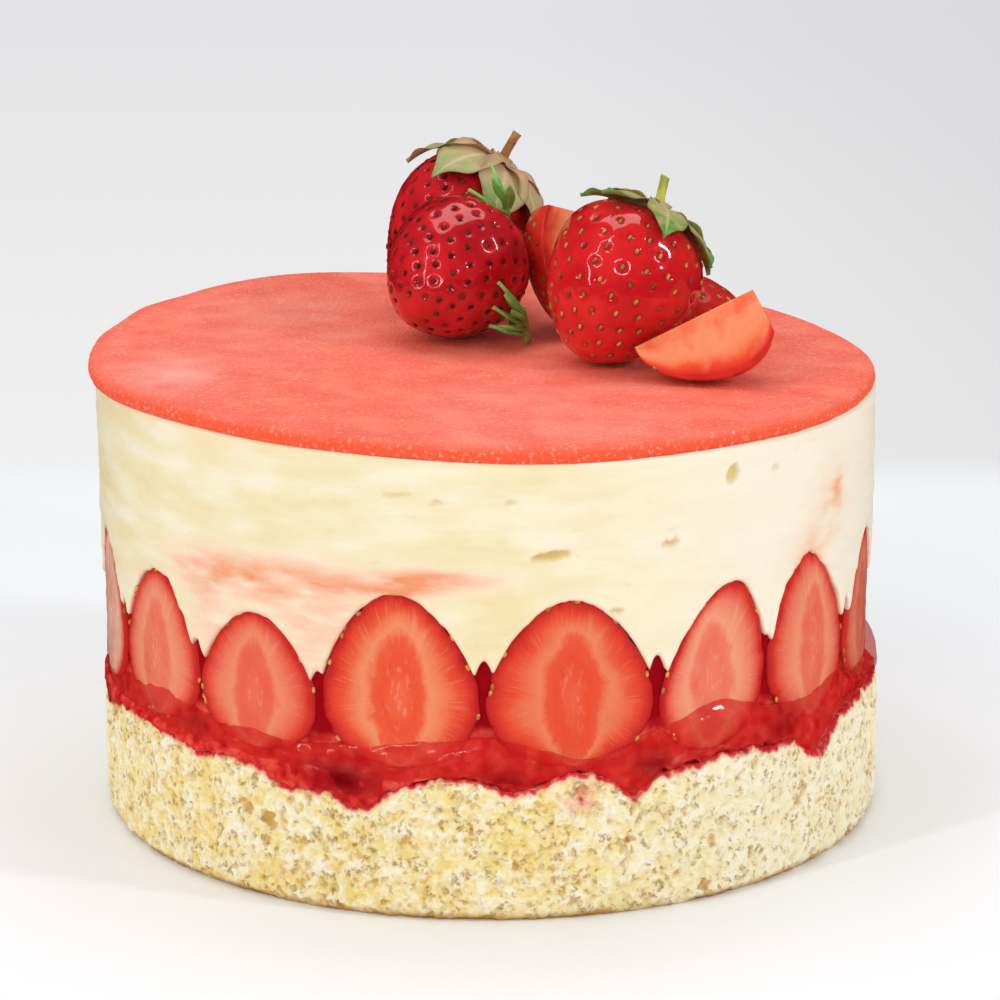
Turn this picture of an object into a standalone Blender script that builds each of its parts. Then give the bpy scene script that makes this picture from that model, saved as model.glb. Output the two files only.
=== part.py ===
"""Fraisier cake: a round sponge base, red jelly, a ring of strawberry halves set in cream, a marzipan
disc, and whole and cut strawberries with two rosemary tips on top.

Lengths are in millimetres until add_object writes metres. The origin is the middle of the flat base.
An angle on the cake is in degrees, 0 at the front (-Y), and it grows towards the right (+X).
"""

import math

import bmesh
import bpy
import numpy as np
from mathutils import Matrix, Vector

MM = 0.001
GAP = 0.3

# Radii of the layers, and how far the upper ones sit to the left of the base
SPONGE_R = 75.6
JELLY_R = 75.5
FINGER_R = 73.4
FACE_R = 73.9
CREAM_R = 74.6
MARZIPAN_R = 75.0
CUTTER_R = 80.0
CREAM_SHIFT_X = -1.0
MARZIPAN_SHIFT_X = -2.0

# Heights
SPONGE_TOP = 25.5
JELLY_TOP = 29.0
JELLY_SHELF_R = 62.0
FILM_TOP = 32.6
FINGER_RISE = 13.5
CAKE_TOP = 87.5
TOP_TILT = -0.025
MARZIPAN_THICKNESS = 3.2
FLAT_TOP_R = 55.0

# Rises and hollows of the sponge's rim, as (angle, width, height), and how rough its wall is
RIM_RISES = [(-60, 6, 0.8), (-5, 4, 1.2), (12, 5, 1.8), (36, 8, 1.6), (70, 9, 2.0)]
RIM_HOLLOWS = [
    (-76, 5, -3.0),
    (-45, 2.5, -1.5),
    (-28, 5, -3.6),
    (-18, 4.5, -5.4),
    (4, 3, -1.6),
    (20, 2.8, -4.2),
    (54, 4, -4.6),
]
CRUMB_IN = 0.9
CRUMB_OUT = 0.3

# The strawberry halves in the ring, as (angle, half width, tip height, lean of the tip)
FRONT_HALVES = [
    (-76.0, 10.1, 58.0, 0.0),
    (-55.2, 10.3, 56.5, 1.0),
    (-34.2, 10.2, 53.8, 0.5),
    (-11.8, 11.4, 60.3, -0.5),
    (12.2, 12.0, 59.3, -0.5),
    (33.4, 9.1, 59.0, 3.2),
    (54.6, 10.1, 60.0, -2.2),
    (75.4, 10.6, 57.5, 1.0),
]
HALVES_BEHIND = 8
HALF_FOOT = 28.0
HALF_DEPTH = 12.5
HALF_TAPER = 0.3
HALF_SIDES = 14
STEPS_PER_HALF = 6
DISC_SIDES = 64

# A strawberry's form
BERRY_FULLNESS = 0.85
BERRY_TAPER = 0.22
BERRY_SIDES = 14
BERRY_RINGS = 10
SEED_LENGTH = 2.2
SEED_WIDTH = 1.4
SEED_HEIGHT = 0.3

# Strawberries on top. The axis points to the calyx end, and each is lowered until it meets the marzipan
WHOLE = {
    "strawberry_rear": dict(length=32.5, width=27.4, seeds=22, axis=(0.56, 0.05, 0.82), place=(-7.9, 37.5)),
    "strawberry_left": dict(length=28.0, width=27.4, seeds=26, axis=(0.55, 0.75, 0.35), place=(-7.7, 9.2)),
    "strawberry_right": dict(length=30.6, width=29.2, seeds=26, axis=(0.46, 0.28, 0.84), place=(24.1, -8.6)),
}

# Cut strawberries: skin is the side to which the skin bulges, and cut is where the calyx end is cut off
SLICES = {
    "strawberry_half": dict(
        length=28.5, width=23.5, spread=180.0, cut=0.25,
        axis=(-0.02, 0.42, 0.9), skin=(-0.69, 0.72, 0), place=(18.0, 17.4),
    ),
    "strawberry_wedge": dict(
        length=26.5, width=26.4, spread=92.0, cut=0.18,
        axis=(0.88, 0.1, 0.42), skin=(0, 0.26, -0.97), place=(38.4, -22.4),
    ),
    "strawberry_piece": dict(
        length=26.0, width=23.0, spread=180.0, cut=0.2,
        axis=(-0.8, 0.5, 0.12), skin=(0, 0, 1), place=(39.6, 10.5),
    ),
}
SLICE_SEEDS = 8

# Calyxes
CALYXES = {
    "calyx_rear": dict(berry="strawberry_rear", sepals=7, stem_lean=0.1, stem_length=7.0, seed=4),
    "calyx_right": dict(berry="strawberry_right", sepals=7, stem_lean=0.3, stem_length=6.3, seed=11),
}
SEPAL_STEPS = 4
SEPAL_CLEARANCE = 1.2
SEPAL_THICKNESS = 0.6
STEM_R = 1.0

# Rosemary tips: the foot and direction of the stem, the side to which the needles fan out, how far they
# lean from the stem, and how far round it they stand
ROSEMARY = {
    "rosemary_low": dict(
        foot=(6.9, 4.8, 88.0), axis=(-0.1, -0.32, 0.94), side=(-0.68, -0.74, 0),
        length=7.5, lean=(26, 62), fan=34, seed=2,
    ),
    "rosemary_high": dict(
        foot=(4.2, 21.4, 87.8), axis=(-0.05, -0.02, 1.0), side=(-0.5, -0.85, 0),
        length=26.0, lean=(20, 75), fan=66, seed=8,
    ),
}
NEEDLES = 6
NEEDLE_STEPS = 3
NEEDLE_WIDTH = 1.7
NEEDLE_THICKNESS = 0.8
NEEDLED_LENGTH = 5.5

# Colour and roughness
MATERIALS = {
    "sponge": ((0.93, 0.80, 0.50), 0.9),
    "jelly": ((0.62, 0.03, 0.04), 0.12),
    "berry_flesh": ((0.86, 0.20, 0.11), 0.25),
    "cream": ((0.97, 0.88, 0.68), 0.5),
    "marzipan": ((0.97, 0.28, 0.20), 0.6),
    "berry_skin": ((0.60, 0.02, 0.03), 0.25),
    "sepal": ((0.42, 0.40, 0.16), 0.6),
    "rosemary": ((0.14, 0.28, 0.07), 0.5),
}


def clear_scene():
    for obj in list(bpy.data.objects):
        bpy.data.objects.remove(obj, do_unlink=True)


def material(name):
    made = bpy.data.materials.get(name)
    if made is None:
        colour, roughness = MATERIALS[name]
        made = bpy.data.materials.new(name)
        made.use_nodes = True
        shader = made.node_tree.nodes["Principled BSDF"]
        shader.inputs["Base Color"].default_value = (*colour, 1.0)
        shader.inputs["Roughness"].default_value = roughness
        shader.inputs["Metallic"].default_value = 0.0
    return made


def add_object(name, bm, finish):
    """Turns a bmesh in millimetres into an object in metres, with its faces pointing out."""
    bmesh.ops.triangulate(bm, faces=bm.faces)
    bmesh.ops.recalc_face_normals(bm, faces=bm.faces)
    bm.transform(Matrix.Scale(MM, 4))
    mesh = bpy.data.meshes.new(name)
    bm.to_mesh(mesh)
    bm.free()
    mesh.materials.append(material(finish))
    obj = bpy.data.objects.new(name, mesh)
    bpy.context.scene.collection.objects.link(obj)
    return obj


def put(obj, matrix):
    """Places an object by a matrix whose lengths are in millimetres."""
    placed = matrix.copy()
    placed.translation = matrix.translation * MM
    obj.matrix_world = placed


def boolean_with(obj, others, operation):
    """One Boolean on a collection of the others, applied, after which they are removed."""
    tools = bpy.data.collections.new("tools")
    bpy.context.scene.collection.children.link(tools)
    for other in others:
        bpy.context.scene.collection.objects.unlink(other)
        tools.objects.link(other)
    modifier = obj.modifiers.new(operation.lower(), "BOOLEAN")
    modifier.operation = operation
    modifier.operand_type = "COLLECTION"
    modifier.collection = tools
    modifier.solver = "EXACT"
    graph = bpy.context.evaluated_depsgraph_get()
    joined = bpy.data.meshes.new_from_object(obj.evaluated_get(graph))
    obj.modifiers.clear()
    obj.data = joined
    for other in others:
        bpy.data.objects.remove(other, do_unlink=True)
    bpy.data.collections.remove(tools)


def keep_largest_piece(obj):
    """Drops the loose scraps that a Boolean leaves."""
    bm = bmesh.new()
    bm.from_mesh(obj.data)
    unseen = set(bm.verts)
    pieces = []
    while unseen:
        todo = [unseen.pop()]
        piece = []
        while todo:
            vert = todo.pop()
            piece.append(vert)
            for edge in vert.link_edges:
                other = edge.other_vert(vert)
                if other in unseen:
                    unseen.remove(other)
                    todo.append(other)
        pieces.append(piece)
    pieces.sort(key=len)
    for piece in pieces[:-1]:
        bmesh.ops.delete(bm, geom=piece, context="VERTS")
    bm.to_mesh(obj.data)
    bm.free()


def closed_loft(rings, start, end):
    """A bmesh closed over rings of points, with a pole at each end. A ring is an array of shape (n, 3).
    Every quad is split along the same diagonal, so that a piece and its cutter stay an even gap apart."""
    bm = bmesh.new()
    loops = [[bm.verts.new(point) for point in ring] for ring in rings]
    first = bm.verts.new(start)
    last = bm.verts.new(end)
    count = len(loops[0])
    for i in range(count):
        j = (i + 1) % count
        bm.faces.new((first, loops[0][j], loops[0][i]))
        bm.faces.new((last, loops[-1][i], loops[-1][j]))
        for low, high in zip(loops, loops[1:]):
            bm.faces.new((low[i], low[j], high[j]))
            bm.faces.new((low[i], high[j], high[i]))
    return bm


def on_cake(angle, radius, height, shift_x=0.0):
    """Points at an angle, a radius and a height on the cake."""
    turn = np.radians(angle)
    x = radius * np.sin(turn) + shift_x
    y = -radius * np.cos(turn)
    return np.stack(np.broadcast_arrays(x, y, height), axis=-1)


def bumps(angle, places):
    """The sum of smooth bumps at the given (angle, width, height)."""
    total = np.zeros_like(angle)
    for centre, width, height in places:
        away = (angle - centre + 180.0) % 360.0 - 180.0
        total += height * np.exp(-((away / width) ** 2))
    return total


def ring_of_halves():
    """Every half in the ring: those in front, then the rest by a rule."""
    halves = list(FRONT_HALVES)
    spare = 0.4
    start = FRONT_HALVES[-1][0] + FRONT_HALVES[-1][1] + spare
    stop = FRONT_HALVES[0][0] - FRONT_HALVES[0][1] - spare + 360.0
    pitch = (stop - start) / HALVES_BEHIND
    rng = np.random.default_rng(16)
    for i in range(HALVES_BEHIND):
        half_width = pitch / 2 - rng.uniform(0.4, 0.9)
        tip = rng.uniform(54.0, 60.5)
        halves.append((start + pitch * (i + 0.5), half_width, tip, rng.uniform(-2.0, 2.0)))
    return halves


def gaps_between(halves):
    """The angles halfway between neighbouring halves, starting left of the first."""
    gaps = []
    for i, (angle, half_width, _, _) in enumerate(halves):
        before = halves[i - 1][0] + halves[i - 1][1]
        if i == 0:
            before -= 360.0
        gaps.append((before + angle - half_width) / 2)
    return gaps


HALVES = ring_of_halves()
GAPS = gaps_between(HALVES)
ANGLES = np.concatenate(
    [
        np.linspace(low, high, STEPS_PER_HALF, endpoint=False)
        for low, high in zip(GAPS, GAPS[1:] + [GAPS[0] + 360.0])
    ]
)


def hidden_hollows():
    """Hollows like those in front, spread over the side that the front doesn't show."""
    rng = np.random.default_rng(5)
    places = range(100, 280, 24)
    return [(angle + rng.uniform(-6, 6), rng.uniform(3, 5), -rng.uniform(1.5, 5)) for angle in places]


def sponge_rim(angle):
    """The height of the sponge's top edge."""
    return SPONGE_TOP + bumps(angle, RIM_RISES + RIM_HOLLOWS + hidden_hollows())


def film_top(angle):
    """The height to which jelly runs up over the foot of the halves."""
    turn = np.radians(angle)
    wave = 1.3 * np.sin(3 * turn + 0.7) + 0.8 * np.sin(8 * turn + 2.0)
    return FILM_TOP + wave + bumps(angle, [(34, 7, 3.5), (62, 8, 3.0)])


def jelly_between(angle):
    """The height of the jelly that fills the gaps between the halves."""
    places = [(gap, 2.6, FINGER_RISE + 1.5 * math.sin(1.7 * gap)) for gap in GAPS]
    return film_top(angle) + 0.5 + bumps(angle, places)


def marzipan_plane(x, lift=0.0):
    """The height of the marzipan's top, which leans a little to the right."""
    return CAKE_TOP + TOP_TILT * x + lift


def marzipan_edge(angle):
    """How far the marzipan's outline and height leave a true circle, cut and laid by hand."""
    turn = np.radians(angle)
    outwards = 0.35 * np.sin(5 * turn + 1.0) + 0.25 * np.sin(9 * turn)
    outwards = outwards + bumps(angle, [(-133, 8, 0.8), (-117, 5, 0.6), (-104, 6, -0.9)])
    upwards = bumps(angle, [(-146, 17, 1.2), (10, 20, -0.3), (-70, 18, -0.8)])
    return outwards, upwards


def half_mesh(half, inflate=0.0, face_radius=FACE_R):
    """A strawberry half at the front of the cake: its cut face follows the cake's side and is a drop, widest
    low down, with its tip up, and its rounded skin points inwards."""
    _, half_width, tip, lean = half
    height = tip - HALF_FOOT
    turn = np.linspace(0.0, 2 * np.pi, HALF_SIDES, endpoint=False)
    drop = np.sin(turn) * (1 - HALF_TAPER * np.cos(turn)) / (1 + HALF_TAPER**2 / 2)
    rise = (1 + np.cos(turn)) / 2
    side = (math.radians(half_width) * FACE_R + inflate) * drop + math.radians(lean) * FACE_R * rise**1.5
    up = HALF_FOOT - inflate + (height + 2 * inflate) * rise
    middle = HALF_FOOT + 0.4 * height

    def ring(scale, radius):
        return on_cake(np.degrees(side * scale / FACE_R), radius, middle + (up - middle) * scale)

    face = max(face_radius, FACE_R + inflate)
    back = FACE_R - HALF_DEPTH - inflate
    rings = [ring(1.0, face)]
    if face > FACE_R + inflate:
        rings.append(ring(1.0, FACE_R))
    rings.append(ring(0.72, FACE_R - 0.66 * (HALF_DEPTH + inflate)))
    return closed_loft(rings, (0.0, -face, middle), (0.0, -back, middle))


def add_half(name, half, inflate=0.0, face_radius=FACE_R):
    obj = add_object(name, half_mesh(half, inflate, face_radius), "berry_flesh")
    obj.location.x = CREAM_SHIFT_X * MM
    obj.rotation_euler.z = math.radians(half[0])
    return obj


def half_cutters(face_radius):
    return [add_half("cutter", half, GAP, face_radius) for half in HALVES]


def make_halves():
    for i, half in enumerate(HALVES):
        add_half(f"berry_half_{i + 1:02d}", half)


def make_sponge():
    """The base, flat below, with a crumbly wall."""
    rng = np.random.default_rng(3)
    rim = sponge_rim(ANGLES)
    rings = [on_cake(ANGLES, SPONGE_R - 1.6, 0.0)]
    for share in (0.12, 0.36, 0.6, 0.84):
        crumb = rng.uniform(-CRUMB_IN, CRUMB_OUT, len(ANGLES))
        rings.append(on_cake(ANGLES, SPONGE_R + crumb, rim * share))
    rings.append(on_cake(ANGLES, SPONGE_R - 0.6, rim))
    add_object("sponge", closed_loft(rings, (0, 0, 0), (0, 0, SPONGE_TOP)), "sponge")


def jelly_mesh():
    """The jelly: a layer on the sponge, a film up the foot of the halves, and fingers between them."""
    film = film_top(ANGLES)
    rim = sponge_rim(ANGLES) + GAP
    rings = [
        on_cake(ANGLES, JELLY_R - 0.5, rim),
        on_cake(ANGLES, JELLY_R, rim * 0.45 + film * 0.55),
        on_cake(ANGLES, JELLY_R - 0.7, film),
        on_cake(ANGLES, FINGER_R, film + 0.3, CREAM_SHIFT_X),
        on_cake(ANGLES, FINGER_R, jelly_between(ANGLES), CREAM_SHIFT_X),
        on_cake(ANGLES, JELLY_SHELF_R, JELLY_TOP),
    ]
    return closed_loft(rings, (0, 0, SPONGE_TOP + GAP), (0, 0, JELLY_TOP))


def jelly_cutter_mesh():
    """What the cream leaves free for the jelly, with more over the fingers, whose sides are steep."""
    finger = jelly_between(ANGLES) + 2.8 * GAP
    rings = [
        on_cake(ANGLES, CUTTER_R, sponge_rim(ANGLES)),
        on_cake(ANGLES, CUTTER_R, finger),
        on_cake(ANGLES, FINGER_R, finger, CREAM_SHIFT_X),
        on_cake(ANGLES, JELLY_SHELF_R, JELLY_TOP + GAP),
    ]
    return closed_loft(rings, (0, 0, SPONGE_TOP), (0, 0, JELLY_TOP + GAP))


def make_jelly():
    jelly = add_object("jelly", jelly_mesh(), "jelly")
    boolean_with(jelly, half_cutters(FACE_R), "DIFFERENCE")
    keep_largest_piece(jelly)


def make_cream():
    """The cream: everything between the jelly and the marzipan, cut round the halves and the jelly."""
    angle = np.linspace(0.0, 360.0, DISC_SIDES, endpoint=False)
    turn = np.radians(angle)
    foot = JELLY_TOP - 1.0
    smear_height = 66.0
    smear = 0.2 * np.sin(7 * turn) + 0.15 * np.sin(11 * turn + 2.0)
    _, lift = marzipan_edge(angle)
    edge_x = CREAM_R * np.sin(turn) + CREAM_SHIFT_X
    inner_x = FLAT_TOP_R * np.sin(turn) + CREAM_SHIFT_X
    under = MARZIPAN_THICKNESS + GAP
    top = marzipan_plane(edge_x, lift) - under
    rings = [
        on_cake(angle, CREAM_R, foot, CREAM_SHIFT_X),
        on_cake(angle, CREAM_R + smear, smear_height, CREAM_SHIFT_X),
        on_cake(angle, CREAM_R, top - 0.4, CREAM_SHIFT_X),
        on_cake(angle, CREAM_R - 0.6, top, CREAM_SHIFT_X),
        on_cake(angle, FLAT_TOP_R, marzipan_plane(inner_x) - under, CREAM_SHIFT_X),
    ]
    start = (CREAM_SHIFT_X, 0, foot)
    end = (CREAM_SHIFT_X, 0, marzipan_plane(CREAM_SHIFT_X) - under)
    cream = add_object("cream", closed_loft(rings, start, end), "cream")
    boolean_with(cream, [add_object("cutter", jelly_cutter_mesh(), "jelly")], "DIFFERENCE")
    boolean_with(cream, half_cutters(CUTTER_R), "DIFFERENCE")
    keep_largest_piece(cream)


def make_marzipan():
    """The thin marzipan disc, with a soft edge."""
    angle = np.linspace(0.0, 360.0, DISC_SIDES, endpoint=False)
    outwards, lift = marzipan_edge(angle)
    rim = MARZIPAN_R + outwards

    def ring(radius, below, rise):
        x = radius * np.sin(np.radians(angle)) + MARZIPAN_SHIFT_X
        return on_cake(angle, radius, marzipan_plane(x, rise) - below, MARZIPAN_SHIFT_X)

    rings = [
        ring(FLAT_TOP_R, MARZIPAN_THICKNESS, 0.0),
        ring(rim - 0.5, MARZIPAN_THICKNESS, lift),
        ring(rim, MARZIPAN_THICKNESS * 0.45, lift),
        ring(rim - 1.0, 0.0, lift),
        ring(FLAT_TOP_R, 0.0, 0.0),
    ]
    top = marzipan_plane(MARZIPAN_SHIFT_X)
    start = (MARZIPAN_SHIFT_X, 0, top - MARZIPAN_THICKNESS)
    add_object("marzipan", closed_loft(rings, start, (MARZIPAN_SHIFT_X, 0, top)), "marzipan")


def berry_profile(share, length, width):
    """A strawberry's radius and height, from its calyx end (share 0) to its tip (share 1)."""
    bend = np.pi * np.asarray(share, float)
    radius = width / 2 * np.sin(bend) ** BERRY_FULLNESS * (1 + BERRY_TAPER * np.cos(bend))
    return radius / (1 + BERRY_TAPER**2 / 2), length / 2 * np.cos(bend)


def round_ring(turn, radius, height):
    """Points round the Z axis."""
    return np.stack([radius * np.cos(turn), radius * np.sin(turn), np.full_like(turn, height)], axis=-1)


def berry_mesh(length, width):
    turn = np.linspace(0.0, 2 * np.pi, BERRY_SIDES, endpoint=False)
    shares = np.linspace(0.0, 1.0, BERRY_RINGS + 1)[1:-1]
    rings = [round_ring(turn, *berry_profile(share, length, width)) for share in shares]
    return closed_loft(rings, (0, 0, length / 2 - 0.6), (0, 0, -length / 2))


def slice_mesh(length, width, spread, cut):
    """A lengthwise slice of a strawberry. Its skin runs round +X for spread degrees, its cut faces meet on
    the axis, and its calyx end is cut off square, the share cut of the way down."""
    turn = np.radians(np.linspace(-spread / 2, spread / 2, BERRY_SIDES // 2 + 1))
    rings = []
    for share in np.linspace(cut, 1.0, BERRY_RINGS)[:-1]:
        radius, height = berry_profile(share, length, width)
        rings.append(np.vstack([round_ring(turn, radius, height), [(0.0, 0.0, float(height))]]))
    return closed_loft(rings, rings[0].mean(axis=0), (0, 0, -length / 2))


def placement(direction, side, centre):
    """A matrix that turns +Z to the direction and +X towards the side, and moves to the centre."""
    z = Vector(direction).normalized()
    x = Vector(side)
    x = (x - x.dot(z) * z).normalized()
    matrix = Matrix((x, z.cross(x), z)).transposed().to_4x4()
    matrix.translation = centre
    return matrix


def above_marzipan(matrix, bm):
    """The least height of a bmesh over the marzipan, once placed."""
    placed = [matrix @ vert.co for vert in bm.verts]
    return min(point.z - marzipan_plane(point.x) for point in placed)


def settled(bm, direction, side, place):
    """The placement at which a piece stands just clear of the marzipan."""
    matrix = placement(direction, side, (*place, CAKE_TOP))
    return Matrix.Translation((0, 0, GAP - above_marzipan(matrix, bm))) @ matrix


def seed_places(count, first, last, spread):
    """Seeds spread evenly over the skin, each turned on by the golden angle, as (share, turn in radians).
    first and last are depths down the berry, from 0 at its calyx end to 1 at its tip."""
    golden = spread * 0.61803399
    for i in range(count):
        down = first + (last - first) * (i + 0.5) / count
        turn = (i * golden) % spread - spread / 2
        yield math.acos(1 - 2 * down) / math.pi, math.radians(turn)


def seed_mesh(length, width, share, turn):
    """A low seed that stands out of the skin, longer along the berry than across it."""
    radius, height = berry_profile(share, length, width)
    next_radius, next_height = berry_profile(share + 0.01, length, width)
    along = Vector((next_radius - radius, 0.0, next_height - height)).normalized()
    outwards = Vector((-along.z, 0.0, along.x))
    depth = 1.5
    bm = bmesh.new()
    bmesh.ops.create_cone(
        bm, cap_ends=True, segments=4, radius1=SEED_WIDTH / 2, radius2=SEED_WIDTH * 0.29, depth=depth
    )
    bm.transform(Matrix.Diagonal((1.0, SEED_LENGTH / SEED_WIDTH, 1.0, 1.0)))
    stand = Matrix((Vector((0, 1, 0)), along, outwards)).transposed().to_4x4()
    stand.translation = Vector((radius, 0.0, height)) + outwards * (SEED_HEIGHT - depth / 2)
    bm.transform(Matrix.Rotation(turn, 4, "Z") @ stand)
    return bm


def add_seeds(berry, matrix, places, length, width):
    """Fuses seeds to a berry, but for those on which it would otherwise stand."""
    seeds = []
    for share, turn in places:
        bm = seed_mesh(length, width, share, turn)
        if above_marzipan(matrix, bm) > GAP:
            seeds.append(add_object("seed", bm, "berry_skin"))
        else:
            bm.free()
    boolean_with(berry, seeds, "UNION")


def make_berry(name, length, width, seeds, axis, place):
    bm = berry_mesh(length, width)
    matrix = settled(bm, axis, (-1, 0, 0), place)
    berry = add_object(name, bm, "berry_skin")
    add_seeds(berry, matrix, seed_places(seeds, 0.16, 0.93, 360.0), length, width)
    put(berry, matrix)
    return berry


def make_slice(name, length, width, spread, cut, axis, skin, place):
    bm = slice_mesh(length, width, spread, cut)
    matrix = settled(bm, axis, skin, place)
    piece = add_object(name, bm, "berry_flesh")
    first = (1 - math.cos(math.pi * cut)) / 2 + 0.08
    add_seeds(piece, matrix, seed_places(SLICE_SEEDS, first, 0.9, spread * 0.8), length, width)
    put(piece, matrix)


def normals_of(line):
    """The normal at each point of a line of (out, up) points."""
    slope = np.gradient(line, axis=0)
    slope /= np.linalg.norm(slope, axis=1)[:, None]
    return np.stack([-slope[:, 1], slope[:, 0]], axis=-1)


def leaf_mesh(width, thickness, line):
    """A thin wavy leaf. line holds its middle as (out, up) points from its foot to its tip, and the leaf's
    thickness stands square to that line. Both faces are split alike."""
    normal = normals_of(line)
    share = np.linspace(0.0, 1.0, len(line))
    belly = np.sin(np.pi * np.minimum(share * 0.9 + 0.12, 1.0)) ** 0.8
    half = width / 2 * (0.25 + 0.75 * belly) * (1.02 - share**3)
    wave = 0.05 * width * np.sin(9.0 * share)
    bm = bmesh.new()
    rows = []
    for i, point in enumerate(line):
        row = []
        for across in (-1, 0, 1):
            faces = []
            for side in (0.5, -0.5):
                out, up = point + normal[i] * (abs(across) * wave[i] + side * thickness)
                faces.append(bm.verts.new((out, across * half[i], up)))
            row.append(faces)
        rows.append(row)
    for near, far in zip(rows, rows[1:]):
        for i in (0, 1):
            bm.faces.new((near[i][0], near[i + 1][0], far[i + 1][0], far[i][0]))
            bm.faces.new((near[i][1], far[i][1], far[i + 1][1], near[i + 1][1]))
        for i in (0, 2):
            bm.faces.new((near[i][0], far[i][0], far[i][1], near[i][1]))
    for row in (rows[0], rows[-1]):
        for i in (0, 1):
            bm.faces.new((row[i][0], row[i][1], row[i + 1][1], row[i + 1][0]))
    return bm


def sepal_line(length, width, last_share, curl):
    """A line that follows the berry's skin out from its calyx end, clear of it, then curls away."""
    share = np.linspace(0.03, last_share, SEPAL_STEPS + 1)
    skin = np.stack(berry_profile(share, length, width), axis=-1)
    clear = SEPAL_CLEARANCE + curl * np.linspace(0.0, 1.0, SEPAL_STEPS + 1) ** 3
    return skin + normals_of(skin) * clear[:, None]


def stem_mesh(segments, foot_radius, top_radius, height, matrix):
    """A stub that narrows upwards and stands on its matrix's origin."""
    bm = bmesh.new()
    bmesh.ops.create_cone(
        bm, cap_ends=True, segments=segments, radius1=foot_radius, radius2=top_radius, depth=height
    )
    bm.transform(matrix @ Matrix.Translation((0, 0, height / 2)))
    return bm


def make_calyx(name, berry, length, width, sepals, stem_lean, stem_length, seed):
    """Sepals that lie over the berry's shoulder and curl at their tips, and the stem between them."""
    rng = np.random.default_rng(seed)
    pieces = []
    for i in range(sepals):
        line = sepal_line(length, width, rng.uniform(0.33, 0.42), rng.uniform(-0.1, 2.6))
        bm = leaf_mesh(width * rng.uniform(0.2, 0.27), SEPAL_THICKNESS, line)
        bm.transform(Matrix.Rotation(math.radians(360.0 * i / sepals + rng.uniform(-6, 6)), 4, "Z"))
        pieces.append(add_object("leaf", bm, "sepal"))
    base = length / 2 + SEPAL_CLEARANCE - 0.5
    hub = stem_mesh(8, width * 0.13, width * 0.08, 1.6, Matrix.Translation((0, 0, base)))
    aim = placement((stem_lean, 0, 1), (1, 0, 0), (0, 0, base + 0.6))
    pieces.append(add_object("stem", stem_mesh(7, STEM_R, STEM_R * 0.8, stem_length, aim), "sepal"))
    calyx = add_object(name, hub, "sepal")
    boolean_with(calyx, pieces, "UNION")
    keep_largest_piece(calyx)
    calyx.parent = berry


def make_rosemary(name, foot, axis, side, length, lean, fan, seed):
    """A rosemary tip: a stem with narrow needles that fan out near its end."""
    rng = np.random.default_rng(seed)
    sprig = add_object(name, stem_mesh(6, 0.75, 0.6, length, Matrix.Identity(4)), "rosemary")
    needles = []
    for i in range(NEEDLES):
        share = i / (NEEDLES - 1)
        along = np.linspace(0.0, 1.0, NEEDLE_STEPS + 1)
        line = np.stack([rng.uniform(7.0, 10.0) * along, rng.uniform(-0.8, 0.8) * along**2], axis=-1)
        bm = leaf_mesh(NEEDLE_WIDTH, NEEDLE_THICKNESS, line)
        from_stem = lean[0] + (lean[1] - lean[0]) * (1 - share)
        around = ((share * 3) % 1.0 * 2 - 1) * fan
        bm.transform(Matrix.Rotation(math.radians(from_stem - 90.0), 4, "Y"))
        bm.transform(Matrix.Rotation(math.radians(around), 4, "Z"))
        bm.transform(Matrix.Translation((0, 0, length - NEEDLED_LENGTH * (1 - 0.9 * share))))
        needles.append(add_object("needle", bm, "rosemary"))
    boolean_with(sprig, needles, "UNION")
    keep_largest_piece(sprig)
    put(sprig, placement(axis, side, foot))


def main():
    clear_scene()
    make_sponge()
    make_jelly()
    make_halves()
    make_cream()
    make_marzipan()
    berries = {name: make_berry(name, **form) for name, form in WHOLE.items()}
    for name, form in CALYXES.items():
        choice = dict(form)
        berry = choice.pop("berry")
        size = WHOLE[berry]
        make_calyx(name, berries[berry], size["length"], size["width"], **choice)
    for name, form in SLICES.items():
        make_slice(name, **form)
    for name, form in ROSEMARY.items():
        make_rosemary(name, **form)


main()
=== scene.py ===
# %% [markdown]
# # Dressing a fraisier
# A fraisier is a strawberry cake built in a ring: sponge below, berries cut in half round the side, cream
# between them, and a thin sheet of marzipan on top. The imported model gives each of these as a plain solid.
# This lesson puts a fine surface with a finish of its own in the place of each solid.
#
# The frame comes first, and its box is kept: the lamps aim at its middle, and the end of the script prints it.

# %% Load the frame
import itertools
import math

import bpy
import numpy as np
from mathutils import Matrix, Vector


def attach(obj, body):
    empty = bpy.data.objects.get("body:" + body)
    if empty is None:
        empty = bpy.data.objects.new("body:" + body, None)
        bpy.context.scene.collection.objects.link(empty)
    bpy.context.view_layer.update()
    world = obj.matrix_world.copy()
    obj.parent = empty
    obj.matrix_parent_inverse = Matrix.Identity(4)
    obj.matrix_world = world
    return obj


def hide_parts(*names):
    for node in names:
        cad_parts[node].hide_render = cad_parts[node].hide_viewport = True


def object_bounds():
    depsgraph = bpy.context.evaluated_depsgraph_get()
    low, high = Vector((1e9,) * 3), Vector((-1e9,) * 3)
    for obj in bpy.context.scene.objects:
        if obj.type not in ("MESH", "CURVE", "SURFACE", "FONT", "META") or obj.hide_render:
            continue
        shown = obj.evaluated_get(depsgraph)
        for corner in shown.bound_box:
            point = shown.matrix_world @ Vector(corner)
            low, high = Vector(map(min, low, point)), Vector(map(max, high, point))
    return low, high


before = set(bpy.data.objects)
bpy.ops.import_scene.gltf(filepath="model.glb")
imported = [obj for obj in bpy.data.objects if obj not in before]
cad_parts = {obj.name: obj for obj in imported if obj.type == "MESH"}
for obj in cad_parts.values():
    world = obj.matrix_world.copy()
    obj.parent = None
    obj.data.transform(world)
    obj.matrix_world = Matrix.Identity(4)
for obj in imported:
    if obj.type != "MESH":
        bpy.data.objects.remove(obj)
cad_low, cad_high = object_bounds()
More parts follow.
